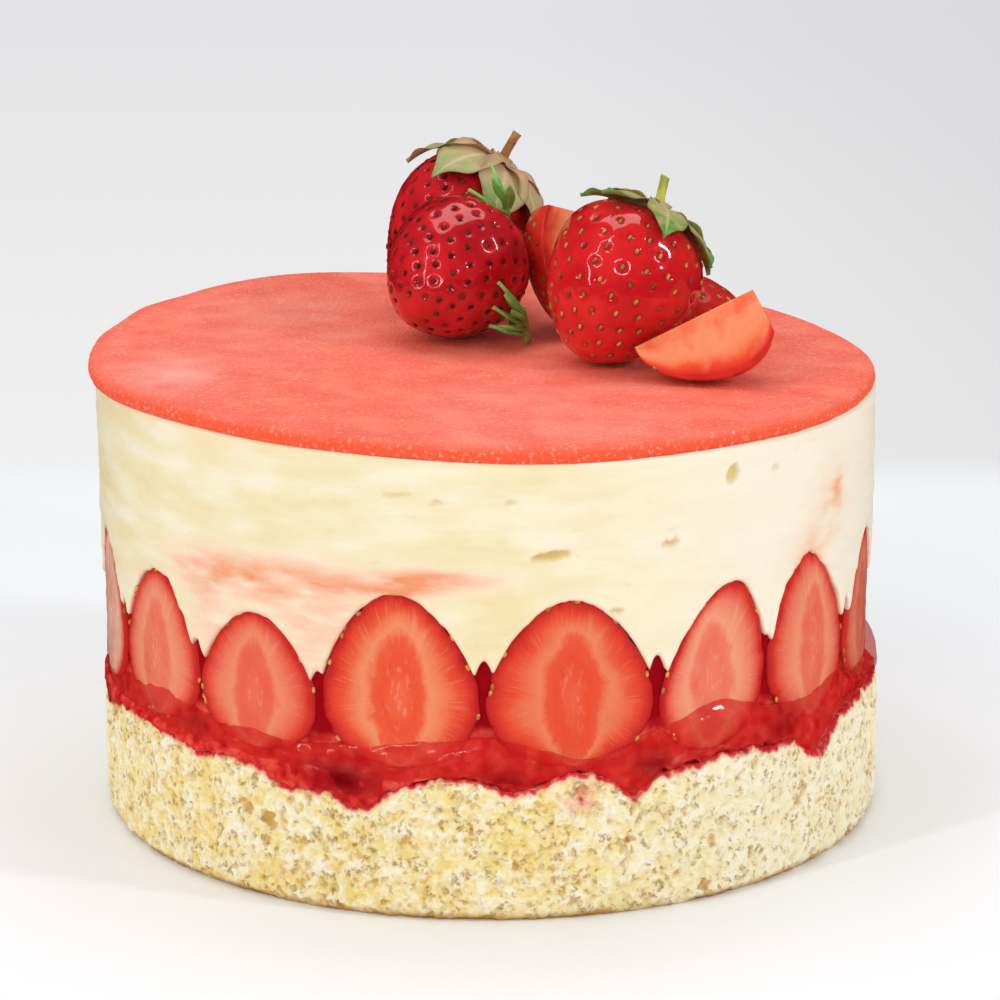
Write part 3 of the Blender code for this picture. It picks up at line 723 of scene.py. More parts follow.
share = steps(FILM_ROWS)
height = low + (high - low) * share
swell = np.clip(1 - np.abs(2 * share - 1) ** 2.6, 0.0, 1.0) ** 0.5
inner = on_cake(angle, FINGER_R - 0.4, height, CREAM_SHIFT_X)
outer = on_cake(angle, JELLY_R - 0.6, height)
film = inner + (outer - inner) * swell[..., None]
across = away_from(angle, BULGE["angle"]) / BULGE["wide"]
bulge = np.exp(-(across**4) - ((height - BULGE["height"]) / BULGE["tall"]) ** 2)
uneven = 0.3 * rough_noise(film, 4.5, 80) + BULGE["out"] * bulge * (0.7 + 0.7 * rough_noise(film, 2.6, 84))
film += on_cake(angle, 1.0, 0.0) * (uneven * swell)[..., None]
film[..., :2] *= np.minimum(1.0, FILM_REACH / np.hypot(film[..., 0], film[..., 1]))[..., None]
back = inner[-2:1:-8]
film_shape = hoop_surface(np.concatenate([film, back]))
film_thick = np.concatenate([soft_ovals(angle, height, THICK_AND_SHADED_PLACES), np.zeros_like(back[..., 0])])
print("the film is", round(float((high - low).mean()), 1), "mm tall on average")

# %% [markdown]
# ## The jelly: finish
# Set strawberry jelly is wet and deep red, with fine pulp in it. The body scatters light like a cloudy gel
# and is painted darker in the gaps between the halves, partly because it is thick there and partly as painted
# shade. The film in front is clear and only tints what is behind it, so the feet of the berries show through,
# redder than above; it too is painted darker in those gaps.

# %% Jelly finish
# Cloudy gel: smooth and wet, red light travels far inside it
jelly_gel, tree, shader, place = new_material(
    "jelly_gel", Roughness=0.1, IOR=1.36, Specular_IOR_Level=0.3, Subsurface_Weight=0.4,
    Subsurface_Scale=0.004, Subsurface_Radius=(1.0, 0.1, 0.08),
)
pulp = add_node(tree, "TexNoise", {"Vector": place, "Scale": per_mm(2.4), "Detail": 4})
stops = [(0.36, "#c01a20"), (0.52, "#e23a32"), (0.66, "#f05c4a")]
bright = add_node(tree, "ValToRGB", {"Fac": pulp}, stops=stops)
# Painted shade, with the depth of the jelly: darker red in the gaps between the halves.
gap = add_node(tree, "Attribute", attribute_name="gap")
dress(tree, shader, layered(tree, bright, (gap, "#9e0814")), pulp, 0.3, 0.5)
add_piece(
    "jelly_body", body_shape, jelly_gel, "jelly", ["jelly"], gap=wall_values(body_thick, 2, 2, 0, 1)
)

# Clear wet film: a mirror-smooth coat over a see-through red
jelly_film, tree, shader, place = new_material(
    "jelly_film", Roughness=0.05, IOR=1.36, Specular_IOR_Level=0.05, Coat_Weight=1.0, Coat_Roughness=0.01,
    Alpha=0.55,
)
cloud = add_node(tree, "TexNoise", {"Vector": place, "Scale": per_mm(2.6), "Detail": 3})
clear = add_node(tree, "ValToRGB", {"Fac": cloud}, stops=[(0.36, "#da1c1c"), (0.64, "#f23e36")])
# Painted shade, with the depth of the jelly: darker red low in the gaps between the halves.
thick = add_node(tree, "Attribute", attribute_name="thick")
ripple = add_node(tree, "TexNoise", {"Vector": place, "Scale": per_mm(2.0), "Detail": 2})
dress(tree, shader, layered(tree, clear, (thick, "#7c0410")), ripple, 0.3, 0.6)
add_piece("jelly_clear_film", film_shape, jelly_film, "jelly", thick=film_thick.reshape(-1))

# %% [markdown]
# ## The halves: shape
# Each half is a strawberry cut lengthwise, pressed with its cut face against the side of the ring. The face
# is a set of rings that shrink towards the middle of a drop, and the skin bulges inwards from the same rim
# as a quarter of an ellipse. Two numbers go with every point of the face: zone runs from 0 in the heart over
# 1 at the ring of veins to 2 at the skin, and fibre says which of the fine rays a point lies on. The knife
# left a few seeds in the rim, so small golden seeds are set round it.

# %% Halves shape
HALF_COLUMNS = 160
FACE_RINGS = 30
SKIN_RINGS = 14
HEART_WIDE = 0.36
HEART_UP = 0.66
HEART_DOWN = 0.95
HEART_POINT = 1.7
HALF_SEEDS = [100 + 3 * i for i in range(len(HALVES))]


def zone_of(depth, turn, side, up):
    """0 to 1 inside the heart and 1 to 2 from there to the skin. The heart is an almond round the middle:
    the sum of (distance / half size) to the power HEART_POINT is 1 on its edge, and the depth at which a ray
    crosses that edge is one over the root of the sum at the rim."""
    tall = np.where(np.cos(turn) > 0, HEART_UP * up.max(), HEART_DOWN * -up.min())
    sums = np.abs(side / (HEART_WIDE * side.max())) ** HEART_POINT + np.abs(up / tall) ** HEART_POINT
    edge = np.minimum(sums ** (-1 / HEART_POINT), 0.97)
    return np.where(depth < edge, depth / edge, 1 + (depth - edge) / (1 - edge))


def half_rim(half, seed):
    """The rim of a half as degrees to the side and millimetres above its middle, made uneven by two noises,
    one for its shape and one for the nicks that seeds leave."""
    turn = once_round(HALF_COLUMNS)
    side, up = half_outline(half, turn)
    circle = points_of(np.cos(turn), np.sin(turn), seed)
    nicks = np.minimum(soft_noise(circle * 10.0, 1.0, seed + 5), 0.05)
    uneven = 1 + 0.02 * rough_noise(circle * 2.5, 1.0, seed) + 0.035 * nicks
    middle = HALF_FOOT + 0.4 * (half[2] - HALF_FOOT)
    return turn, circle, side * uneven, (up - middle) * uneven, middle


def half_shape(half, seed):
    """The closed skin of one half, and its zone and fibre numbers. On the face, a point is the middle plus a
    share of the way to the rim. On the skin, the share is cos(p) and the depth HALF_DEPTH sin(p)."""
    turn, circle, side, up, middle = half_rim(half, seed)
    depth = np.linspace(0.04, 1.0, FACE_RINGS)[:, None]
    rounding = 0.3 * np.clip((depth - 0.94) / 0.06, 0.0, 1.0) ** 2
    face = points_of(side * depth, FACE_R - rounding, middle + up * depth)
    rays = 0.08 * soft_noise(circle * 11.0, 1.0, seed + 1) * np.clip(depth * 2 - 0.6, 0.0, 1.0)
    spots = points_of(face[..., 0] * 1.3, face[..., 2], seed)
    heart = 0.14 * rough_noise(spots, 1.6, seed) * np.clip(1.4 - depth * 3, 0.0, 1.0)
    face[..., 1] += rays + heart - 0.1
    bend = np.linspace(0.0, np.pi / 2, SKIN_RINGS + 2)[1:-1, None]
    inwards = FACE_R - 0.4 - (HALF_DEPTH - 0.4) * np.sin(bend)
    skin = points_of(side * np.cos(bend), inwards, middle + up * np.cos(bend))
    local = np.concatenate([face, skin])
    rings = on_cake(local[..., 0] + half[0], local[..., 1], local[..., 2], CREAM_SHIFT_X)
    ends = np.array([FACE_R - 0.1, FACE_R - HALF_DEPTH])
    poles = on_cake(np.full(2, half[0]), ends, np.full(2, middle), CREAM_SHIFT_X)
    millimetres = side * np.radians(1.0) * FACE_R
    zone = zone_of(depth, turn, millimetres, up)
    zone = np.concatenate([zone, np.full((SKIN_RINGS, HALF_COLUMNS), 2.0)])
    ray = np.broadcast_to(np.sin(turn) * 3 + np.cos(turn) * 5, zone.shape)
    return closed_surface(rings, *poles), with_poles(zone, 0, 2), with_poles(ray, 0, 0)


print("a front half is", round(2 * math.radians(FRONT_HALVES[3][1]) * FACE_R, 1), "mm wide")

# %% [markdown]
# ## The halves: finish
# Cut strawberry is moist and half clear. Under the skin lies a bright red rim, then orange-red flesh with
# pale rays that run to the seeds, a whitish ring of veins, and a redder heart with a few pale flecks. A
# colour ramp over the zone gives the rings, and noise that hardly changes along a ray gives the rays. The
# tone number makes one berry riper than the next, and the smear number says how much cream was wiped over
# its face. On the half at the far left it also stands for a painted reflection: a pinkish-white streak.

# %% Cut strawberry finish
TONES = [0.25, 0.3, 0.35, 0.15, 0.35, 0.15, 0.3, 0.5]
# The first value also paints a pinkish-white reflection streak on the far left half.
SMEARS_AND_REFLECTION = [0.8, 0.2, 0.1, 0.0, 0.0, 0.22, 0.16, 0.2]

# Moist fruit flesh: soft gloss, light goes a few millimetres in
cut_strawberry, tree, shader, place = new_material(
    "cut_strawberry", Roughness=0.26, IOR=1.38, Specular_IOR_Level=0.3, Coat_Weight=0.15,
    Coat_Roughness=0.08, Subsurface_Weight=0.3, Subsurface_Scale=0.003, Subsurface_Radius=(1.0, 0.35, 0.22),
)
zone = add_node(tree, "Attribute", attribute_name="zone")
fibre = add_node(tree, "Attribute", attribute_name="fibre")
cloud = add_node(tree, "TexNoise", {"Vector": place, "Scale": per_mm(5), "Detail": 4})
shift = add_node(tree, "MapRange", {"Value": cloud, "To Min": -0.28, "To Max": 0.28})
ray_place = add_node(tree, "CombineXYZ", {"X": fibre, "Y": zone})
stretched = add_node(tree, "Mapping", {"Vector": ray_place, "Scale": (7.0, 0.9, 1.0)})
rays = add_node(tree, "TexNoise", {"Vector": stretched, "Scale": 1.0, "Detail": 3})
ray_shift = add_node(tree, "MapRange", {"Value": rays, "To Min": -0.2, "To Max": 0.2})
shifts = add_node(tree, "Math", {0: shift, 1: ray_shift}, operation="ADD")
inwards = {"Value": zone, "From Min": 1.6, "From Max": 1.95, "To Min": 1.0, "To Max": 0.25}
inside = add_node(tree, "MapRange", inwards)
kept_shift = add_node(tree, "Math", {0: shifts, 1: inside}, operation="MULTIPLY")
zoned = add_node(tree, "Math", {0: zone, 1: kept_shift}, operation="ADD")
halved = add_node(tree, "Math", {0: zoned, 1: 0.5}, operation="MULTIPLY")
rings = add_node(
    tree,
    "ValToRGB",
    {"Fac": halved},
    stops=[
        (0.0, "#f2724e"),
        (0.3, "#ee5632"),
        (0.45, "#ef6340"),
        (0.56, "#f39a6c"),
        (0.66, "#f0865a"),
        (0.78, "#ec5834"),
        (0.9, "#dc3626"),
        (0.98, "#bc141e"),
    ],
)
streak = add_node(tree, "MapRange", {"Value": rays, "From Min": 0.52, "From Max": 0.74, "To Max": 0.5})
in_flesh = add_node(tree, "MapRange", {"Value": zone, "From Min": 0.95, "From Max": 1.2})
below_skin = {"Value": zone, "From Min": 1.55, "From Max": 1.85, "To Min": 1.0, "To Max": 0.0}
not_skin = add_node(tree, "MapRange", below_skin)
where = add_node(tree, "Math", {0: in_flesh, 1: not_skin}, operation="MULTIPLY")
ray_share = add_node(tree, "Math", {0: streak, 1: where}, operation="MULTIPLY")
upright = add_node(tree, "Mapping", {"Vector": place, "Scale": (1.0, 1.0, 0.4)})
flecks = add_node(tree, "TexNoise", {"Vector": upright, "Scale": per_mm(0.8), "Detail": 4})
fleck = add_node(tree, "MapRange", {"Value": flecks, "From Min": 0.54, "From Max": 0.72, "To Max": 0.7})
heartwards = {"Value": zone, "From Min": 0.1, "From Max": 0.8, "To Min": 1.0, "To Max": 0.0}
in_heart = add_node(tree, "MapRange", heartwards)
fleck_share = add_node(tree, "Math", {0: fleck, 1: in_heart}, operation="MULTIPLY")
tone = add_node(tree, "Attribute", attribute_name="tone")
# Cream wiped over the face, and on the far left half a painted reflection.
smear = add_node(tree, "Attribute", attribute_name="smear")
thinly = add_node(tree, "MapRange", {"Value": cloud, "From Min": 0.3, "From Max": 0.6, "To Min": 0.6})
off_rim = add_node(tree, "Math", {0: thinly, 1: not_skin}, operation="MULTIPLY")
smear_share = add_node(tree, "Math", {0: smear, 1: off_rim}, operation="MULTIPLY")
smeared = layered(
    tree, rings, (ray_share, "#f9b58c"), (fleck_share, "#f8b096"), (tone, "#de3a28"), (smear_share, "#fcd0b8")
)
dress(tree, shader, smeared, flecks, 0.25, 0.3)

rng = np.random.default_rng(7)
for i, half in enumerate(HALVES):
    shape, zones, fibres = half_shape(half, HALF_SEEDS[i])
    tone = TONES[i] if i < len(TONES) else rng.uniform(0.05, 0.3)
    smear = SMEARS_AND_REFLECTION[i] if i < len(SMEARS_AND_REFLECTION) else rng.uniform(0.0, 0.3)
    number = f"{i + 1:02d}"
    add_piece(
        "cut_berry_" + number, shape, cut_strawberry, "berry_flesh", ["berry_half_" + number],
        zone=zones, fibre=fibres, tone=np.full(len(zones), tone), smear=np.full(len(zones), smear),
    )

# %% [markdown]
# ## Seeds
# One small closed shape serves for every seed on the cake. It is copied to each place and turned by a frame
# of three directions there: across, along, and out of the fruit. Seeds are straw coloured where the berry is
# bright, and almost black on the riper ones.

# %% Seeds
SEED_SIZE = (0.4, 0.62, 0.3)
RIM_SEEDS = 9
RIM_SEED_INSET = 0.985


def seed_shape():
    """One seed: an almond of six columns, its width following sin(b) to the power 0.8, pointed at one end."""
    turn = once_round(6)
    bend = np.radians([35.0, 80.0, 130.0])[:, None]
    wide = np.sin(bend) ** 0.8
    x = SEED_SIZE[0] * wide * np.cos(turn)
    z = SEED_SIZE[2] * wide * np.sin(turn)
    rings = points_of(x, SEED_SIZE[1] * np.cos(bend), z)
    return closed_surface(rings, (0, SEED_SIZE[1], 0), (0, -SEED_SIZE[1] * 0.92, 0))


def copies(shape, frames, places):
    """Copies of a shape, each turned by its frame and moved to its place, as one set of points and faces."""
    points, faces = shape
    placed = np.einsum("vj,njk->nvk", points, frames) + places[:, None, :]
    starts = range(0, len(places) * len(points), len(points))
    return placed.reshape(-1, 3), [[corner + start for corner in face] for start in starts for face in faces]


def two_tone(name, pale, dark, size, roughness):
    """A plain finish whose colour wanders between two shades over the given millimetres."""
    made, tree, shader, place = new_material(name, Roughness=roughness, IOR=1.45)
    shade = add_node(tree, "TexNoise", {"Vector": place, "Scale": per_mm(size), "Detail": 2})
    colour = add_node(tree, "ValToRGB", {"Fac": shade}, stops=[(0.4, dark), (0.6, pale)])
    tree.links.new(colour, shader.inputs["Base Color"])
    return made


def rim_seeds(half, seed, rng):
    """Places and frames of the seeds in the rim of a half, lying along it and half sunk."""
    turn, _, side, up, middle = half_rim(half, seed)
    chosen = rng.choice(len(turn), RIM_SEEDS, replace=False)
    across = side[chosen] * RIM_SEED_INSET + half[0]
    places = on_cake(across, FACE_R - 0.25, middle + up[chosen] * RIM_SEED_INSET, CREAM_SHIFT_X)
    out = on_cake(np.full(RIM_SEEDS, half[0]), 1.0, 0.0)
    after = (chosen + 1) % len(turn)
    run_side = (side[after] - side[chosen]) * np.radians(1.0) * FACE_R
    run_up = up[after] - up[chosen]
    right = on_cake(np.full(RIM_SEEDS, half[0] + 90.0), 1.0, 0.0)
    along = unit(right * run_side[:, None] + np.array([0, 0, 1.0]) * run_up[:, None])
    return places, np.stack([np.cross(along, out), along, out], axis=1)


# Dry seed coats: a low gloss, and each seed of its own shade
PALE_SEEDS = two_tone("straw_seeds", "#c7a046", "#6d4f22", 2.5, 0.38)
DARK_SEEDS = two_tone("dark_seeds", "#6b3620", "#2a100c", 2.5, 0.38)
GOLDEN_SEEDS = two_tone("golden_seeds", "#eaa63e", "#b87030", 3.0, 0.35)
seed_mesh = seed_shape()
rng = np.random.default_rng(12)
placed = [rim_seeds(half, seed, rng) for half, seed in zip(HALVES, HALF_SEEDS)]
places, frames = (np.concatenate([seeds[i] for seeds in placed]) for i in (0, 1))
seed_copies = copies(seed_mesh, frames, places)
add_piece("cut_berry_seeds", seed_copies, GOLDEN_SEEDS, "berry_skin")

# %% [markdown]
# ## The cream: shape
# Mousseline cream was spread round the ring and shows the strokes of the knife: faint level ridges, and small
# pits where the knife bridged a gap. The lower edge follows the berries, and comes down in a rounded tongue
# between each two. The wall is a grid between that edge and the marzipan. Inside, the cream has a pocket in
# which the halves sit.

# %% Cream shape
CREAM_COLUMNS = 1120
CREAM_ROWS = 74
POCKET_R = 60.6
PITS = [
    dict(angle=9.0, height=67.5, wide=4.0, tall=1.3, deep=1.2),
    dict(angle=26.0, height=68.0, wide=2.2, tall=0.9, deep=0.9),
    dict(angle=36.0, height=79.0, wide=1.5, tall=2.2, deep=1.1),
    dict(angle=-12.0, height=78.0, wide=2.6, tall=0.7, deep=0.5),
    dict(angle=-6.5, height=77.0, wide=1.6, tall=0.7, deep=0.5),
    dict(angle=3.5, height=77.0, wide=1.2, tall=0.8, deep=0.5),
    dict(angle=18.0, height=56.5, wide=1.4, tall=0.9, deep=0.7),
    dict(angle=44.0, height=78.0, wide=1.0, tall=0.8, deep=0.5),
]
SMALL_PITS = 90
TORN_EDGE = 0.2
TORN_PLACES = [(-66, 9, 0.6), (-46, 6, 0.5), (48, 6, 0.7), (66, 8, 0.7), (130, 20, 0.5), (-130, 25, 0.5)]


def pit_depth(angle, height, pits):
    """How deep the knife left pits: each is an oval whose top edge is steep and whose lower edge runs out."""
    depth = np.zeros(np.broadcast(angle, height).shape)
    for pit in pits:
        across = away_from(angle, pit["angle"]) * np.radians(1.0) * CREAM_R / pit["wide"]
        above = (height - pit["height"] - 0.25 * across * pit["tall"]) / pit["tall"]
        oval = across**2 + np.where(above > 0, above * 1.6, above) ** 2
        depth = np.maximum(depth, pit["deep"] * np.clip(1 - oval, 0.0, 1.0) ** 0.6)
    return depth


rng = np.random.default_rng(21)
small_pits = [
    dict(angle=rng.uniform(-180, 180), height=rng.uniform(50, 82), wide=rng.uniform(0.4, 1.5),
         tall=rng.uniform(0.25, 0.5), deep=rng.uniform(0.1, 0.25))
    for _ in range(SMALL_PITS)
]
angle = np.linspace(-180.0, 180.0, CREAM_COLUMNS, endpoint=False)
_, lift = marzipan_edge(angle)
edge_x = CREAM_R * np.sin(np.radians(angle)) + CREAM_SHIFT_X
top = marzipan_plane(edge_x, lift) - MARZIPAN_THICKNESS + 0.1
torn = TORN_EDGE + bumps(angle, TORN_PLACES)
low = np.maximum(above_halves(angle) - 0.25, jelly_between(angle) + 0.5)
low = low + torn * rough_noise(on_cake(angle, CREAM_R, 0.0), 2.0, 90)
share = steps(CREAM_ROWS) ** 1.15
height = low + (top - low) * share
strokes = points_of(angle / 12.0, height / 1.7, 0.0)
relief = 0.14 * rough_noise(strokes, 1.0, 94) + 0.22 * rough_noise(on_cake(angle, CREAM_R, height), 22.0, 97)
wander = rough_noise(on_cake(angle, CREAM_R, height), 1.8, 99)
pits = pit_depth(angle + 0.35 * wander, height + 0.35 * wander[:, ::-1], PITS + small_pits)
lip = 0.55 * np.exp(-(height - low) / 0.45)
wall = on_cake(angle, CREAM_R - 0.1 + relief - pits - lip, height, CREAM_SHIFT_X)
pocket = [(60.0, JELLY_TOP + GAP), (POCKET_R, low), (70.0, low + 0.6), (CREAM_R - 1.8, low + 0.3)]
pocket = np.stack([on_cake(angle, radius, rise, CREAM_SHIFT_X) for radius, rise in pocket])
lid_height = CAKE_TOP - MARZIPAN_THICKNESS - GAP
lid = level_rings(angle, (70.0, 55.0, 20.0), lid_height, CREAM_SHIFT_X)
rings = np.concatenate([pocket, wall, lid])
cream_shape = closed_surface(rings, (0, 0, JELLY_TOP + GAP), (0, 0, lid_height))
print("the cream's lowest tongue ends at", round(float(low.min()), 1), "mm")

# %% [markdown]
# ## The cream: finish
# The cream is butter yellow and satin. Juice has coloured it in places: a level orange and pink streak over
# the halves left of the middle, and a pink blush on the right. The stains are ovals of the angle and height,
# broken up by noise in the shader. The knife's pits are painted ochre, as painted shade, and the right side is
# painted paler, as painted light from the window on the right.

# %% Cream finish
STAINS = [
    dict(angle=-40.0, height=59.0, wide=9.0, tall=4.5, strong=0.55),
    dict(angle=-27.0, height=60.5, wide=15.0, tall=3.6, strong=0.75),
    dict(angle=-7.0, height=63.0, wide=8.0, tall=1.8, strong=0.95),
    dict(angle=-12.0, height=61.0, wide=5.0, tall=1.4, strong=0.6),
    dict(angle=-43.0, height=50.0, wide=6.0, tall=9.0, strong=0.3),
    dict(angle=-23.0, height=52.0, wide=8.0, tall=9.0, strong=0.42),
    dict(angle=58.0, height=68.0, wide=6.0, tall=9.0, strong=0.32),
    dict(angle=60.0, height=70.0, wide=1.3, tall=3.0, strong=0.75),
    dict(angle=52.0, height=60.0, wide=5.0, tall=5.0, strong=0.3),
    dict(angle=140.0, height=62.0, wide=18.0, tall=3.0, strong=0.6),
    dict(angle=-125.0, height=60.0, wide=14.0, tall=3.0, strong=0.5),
]
JUICE_EDGE = 0.35

juice = JUICE_EDGE * np.exp(-np.clip(height - low, 0.0, None) / 0.7)
stained_share = np.clip(soft_ovals(angle, height, STAINS) + juice, 0.0, 1.0)

# Whipped butter cream: satin, with soft highlights
butter_cream, tree, shader, place = new_material("butter_cream", Roughness=0.5, IOR=1.45)
level = add_node(tree, "Mapping", {"Vector": place, "Scale": (1.0, 1.0, 3.0)})
clouds = add_node(tree, "TexNoise", {"Vector": level, "Scale": per_mm(14), "Detail": 4})
stops = [(0.34, "#f2dfac"), (0.5, "#f6e6bb"), (0.66, "#f9edcf")]
base = add_node(tree, "ValToRGB", {"Fac": clouds}, stops=stops)
# Painted light: paler towards the right, where the window on the right lights the cream.
right_window_light = add_node(tree, "Attribute", attribute_name="pale")
pale = add_node(tree, "Math", {0: right_window_light, 1: 0.75}, operation="MULTIPLY")
# Painted shade: the knife's pits are painted ochre.
pit = add_node(tree, "Attribute", attribute_name="pit")
stain = add_node(tree, "Attribute", attribute_name="stain")
streaks = add_node(tree, "TexNoise", {"Vector": level, "Scale": per_mm(9), "Detail": 4})
streaked = add_node(tree, "MapRange", {"Value": streaks, "From Min": 0.2, "From Max": 0.62})
amount = add_node(tree, "Math", {0: stain, 1: streaked}, operation="MULTIPLY")
stops = [(0.0, "#fbe8cc"), (0.3, "#fbd2b2"), (0.9, "#f79a6c")]
stain_colour = add_node(tree, "ValToRGB", {"Fac": amount}, stops=stops)
stain_share = add_node(tree, "MapRange", {"Value": amount, "From Max": 0.3})
stained = layered(tree, base, (pale, "#fff3e2"), (pit, "#e9ca84"), (stain_share, stain_colour))
fine = add_node(tree, "TexNoise", {"Vector": level, "Scale": per_mm(2.4), "Detail": 4})
dress(tree, shader, stained, fine, 0.25, 0.4)
add_piece(
    "cream_band", cream_shape, butter_cream, "cream", ["cream"],
    pit=wall_values(np.clip(pits / 0.9, 0, 1), 4, 3), stain=wall_values(stained_share, 4, 3),
    pale=wall_values(lit_from_right(angle) + np.zeros_like(height), 4, 3),
)

# %% [markdown]
# ## The marzipan
# A sheet of coloured marzipan, rolled to three millimetres, cut with a knife and laid on by hand. Its edge is
# soft and its outline wanders a little. The top is a disc of rings that shrink towards the middle, with the
# faint hollows that a rolling pin and fingers leave.

# %% Marzipan shape
MARZIPAN_COLUMNS = 720
EDGE_RINGS = 12
TOP_RINGS = 64
FLOURY_PLACES = [(-59.0, -24.0, 8.0, 0.9), (-40.0, 20.0, 14.0, 0.3), (8.0, -50.0, 16.0, 0.25)]

angle = np.linspace(0.0, 360.0, MARZIPAN_COLUMNS, endpoint=False)
outwards, lift = marzipan_edge(angle)
nicks = 0.12 * rough_noise(on_cake(angle, MARZIPAN_R, 0.0), 4.0, 110)
rim_radius = MARZIPAN_R - 0.1 + outwards + nicks
bend = np.linspace(-np.pi / 2, np.pi / 2, EDGE_RINGS)[:, None]
edge_radius = rim_radius - 1.1 + 1.1 * np.cos(bend)
edge_drop = MARZIPAN_THICKNESS / 2 * (1 - np.sin(bend))
shares = np.linspace(0.985, 0.03, TOP_RINGS)[:, None] ** 0.9
top_radius = (rim_radius - 1.1) * shares
top_lift = lift * np.clip((shares - 0.72) / 0.28, 0.0, 1.0)


def marzipan_ring(radius, below, rise):
    """Points of the sheet: the sloping plane, raised at the edge and lowered by the depth below its top."""
    x = radius * np.sin(np.radians(angle)) + MARZIPAN_SHIFT_X
    return on_cake(angle, radius, marzipan_plane(x, rise) - below, MARZIPAN_SHIFT_X)


sheet_top = marzipan_ring(top_radius, 0.0, top_lift)
sheet_top[..., 2] += 0.12 * rough_noise(sheet_top, 12.0, 114) + 0.06 * rough_noise(sheet_top, 1.8, 117)
middle = marzipan_plane(MARZIPAN_SHIFT_X)
sheet_foot = marzipan_ring(55.0, MARZIPAN_THICKNESS, 0.0)[None]
rings = np.concatenate([sheet_foot, marzipan_ring(edge_radius, edge_drop, lift), sheet_top])
foot_middle = (MARZIPAN_SHIFT_X, 0, middle - MARZIPAN_THICKNESS)
marzipan_shape = closed_surface(rings, foot_middle, (MARZIPAN_SHIFT_X, 0, middle))
flour = np.zeros((1 + EDGE_RINGS + TOP_RINGS, MARZIPAN_COLUMNS))
for x, y, wide, strong in FLOURY_PLACES:
    away = np.hypot(sheet_top[..., 0] - x, (sheet_top[..., 1] - y) * 0.6)
    flour[1 + EDGE_RINGS :] += strong * np.exp(-((away / wide) ** 2))
edge_share = np.concatenate(
    [
        np.ones((1, MARZIPAN_COLUMNS)),
        np.clip(1.15 - np.sin(bend) * 0.9, 0.0, 1.0) + np.zeros(MARZIPAN_COLUMNS),
        0.4 * np.clip((shares - 0.975) / 0.025, 0.0, 1.0) + np.zeros(MARZIPAN_COLUMNS),
    ]
)

# Almond paste: matt with a fine sugary grain, and deeper orange at the edge
almond_paste, tree, shader, place = new_material(
    "almond_paste", Roughness=0.7, IOR=1.45, Specular_IOR_Level=0.2
)
blotches = add_node(tree, "TexNoise", {"Vector": place, "Scale": per_mm(11), "Detail": 6})
stops = [(0.34, "#f96c56"), (0.5, "#fc7862"), (0.66, "#ff866f")]
base = add_node(tree, "ValToRGB", {"Fac": blotches}, stops=stops)
edge = add_node(tree, "Attribute", attribute_name="edge")
grain = add_node(tree, "TexNoise", {"Vector": place, "Scale": per_mm(0.8), "Detail": 5})
sugar = add_node(tree, "MapRange", {"Value": grain, "From Min": 0.56, "From Max": 0.72, "To Max": 0.65})
floury = add_node(tree, "Attribute", attribute_name="flour")
powder = add_node(tree, "Math", {0: floury, 1: blotches}, operation="MULTIPLY")
sugared = layered(tree, base, (edge, "#fb5c38"), (powder, "#ffc4b8"), (sugar, "#ffb8a6"))
dress(tree, shader, sugared, grain, 0.8, 0.6)
add_piece(
    "marzipan_sheet", marzipan_shape, almond_paste, "marzipan", ["marzipan"],
    edge=with_poles(edge_share, 1, 0), flour=with_poles(flour, 0, 0),
)

# %% [markdown]
# ## Whole strawberries: shape
# A strawberry is a full cone with a dimple round each seed. The profile gives radius and height along the
# berry. Seeds are spread by the golden angle, as the plant itself spreads them, and each one presses a
# rounded pit into the grid. The seeds are small closed shapes copied to those places.

# %% Berry shape
BERRY_FULLNESS = 0.85
BERRY_TAPER = 0.22
BERRY_COLUMNS = 250
BERRY_RINGS = 180
DIMPLE_DEEP = 0.42
DIMPLE_WIDE = 0.8
SEED_SUNK = 0.3
GOLDEN_TURN = 0.61803399
WHOLE = {
    "strawberry_rear": dict(length=32.5, width=27.4, axis=(0.56, 0.05, 0.82), place=(-7.9, 37.5), seeds=200),
    "strawberry_left": dict(length=28.0, width=27.4, axis=(0.55, 0.75, 0.35), place=(-7.7, 9.2), seeds=185),
    "strawberry_right": dict(length=30.6, width=29.2, axis=(0.46, 0.28, 0.84), place=(24.1, -8.6), seeds=170),
}


def berry_profile(share, length, width):
    """Radius and height from the calyx end, share 0, to the tip, share 1. The radius is width / 2 times
    sin(b) to the power of the fullness times (1 + taper cos(b)), and the height length / 2 times cos(b),
    where b runs from 0 to pi."""
    bend = np.pi * np.asarray(share, float)
    radius = width / 2 * np.sin(bend) ** BERRY_FULLNESS * (1 + BERRY_TAPER * np.cos(bend))
    return radius / (1 + BERRY_TAPER**2 / 2), length / 2 * np.cos(bend)


def skin_points(share, turn, length, width):
    """Points of the smooth skin at a share of the length and a turn round the axis."""
    radius, height = berry_profile(share, length, width)
    return points_of(radius * np.cos(turn), radius * np.sin(turn), height)


def skin_frames(share, turn, length, width):
    """At each place of the skin, three directions: across, along towards the calyx, and out."""
    step = 0.004
    before, after = (skin_points(share + way * step, turn, length, width) for way in (-1, 1))
    along = unit(before - after)
    across = np.stack([-np.sin(turn), np.cos(turn), np.zeros_like(turn)], axis=-1)
    return np.stack([across, along, np.cross(across, along)], axis=-2)


def seed_places(count, first, last, spread, rng):
    """Shares and turns of seeds: equal steps of area along the berry, the golden angle round it, and a
    little disorder."""
    number = np.arange(count)
    down = first + (last - first) * (number + 0.5) / count
    share = np.arccos(1 - 2 * down) / np.pi
    turn = (number * GOLDEN_TURN * spread) % spread - spread / 2
    return share + rng.uniform(-0.006, 0.006, count), np.radians(turn + rng.uniform(-3, 3, count))


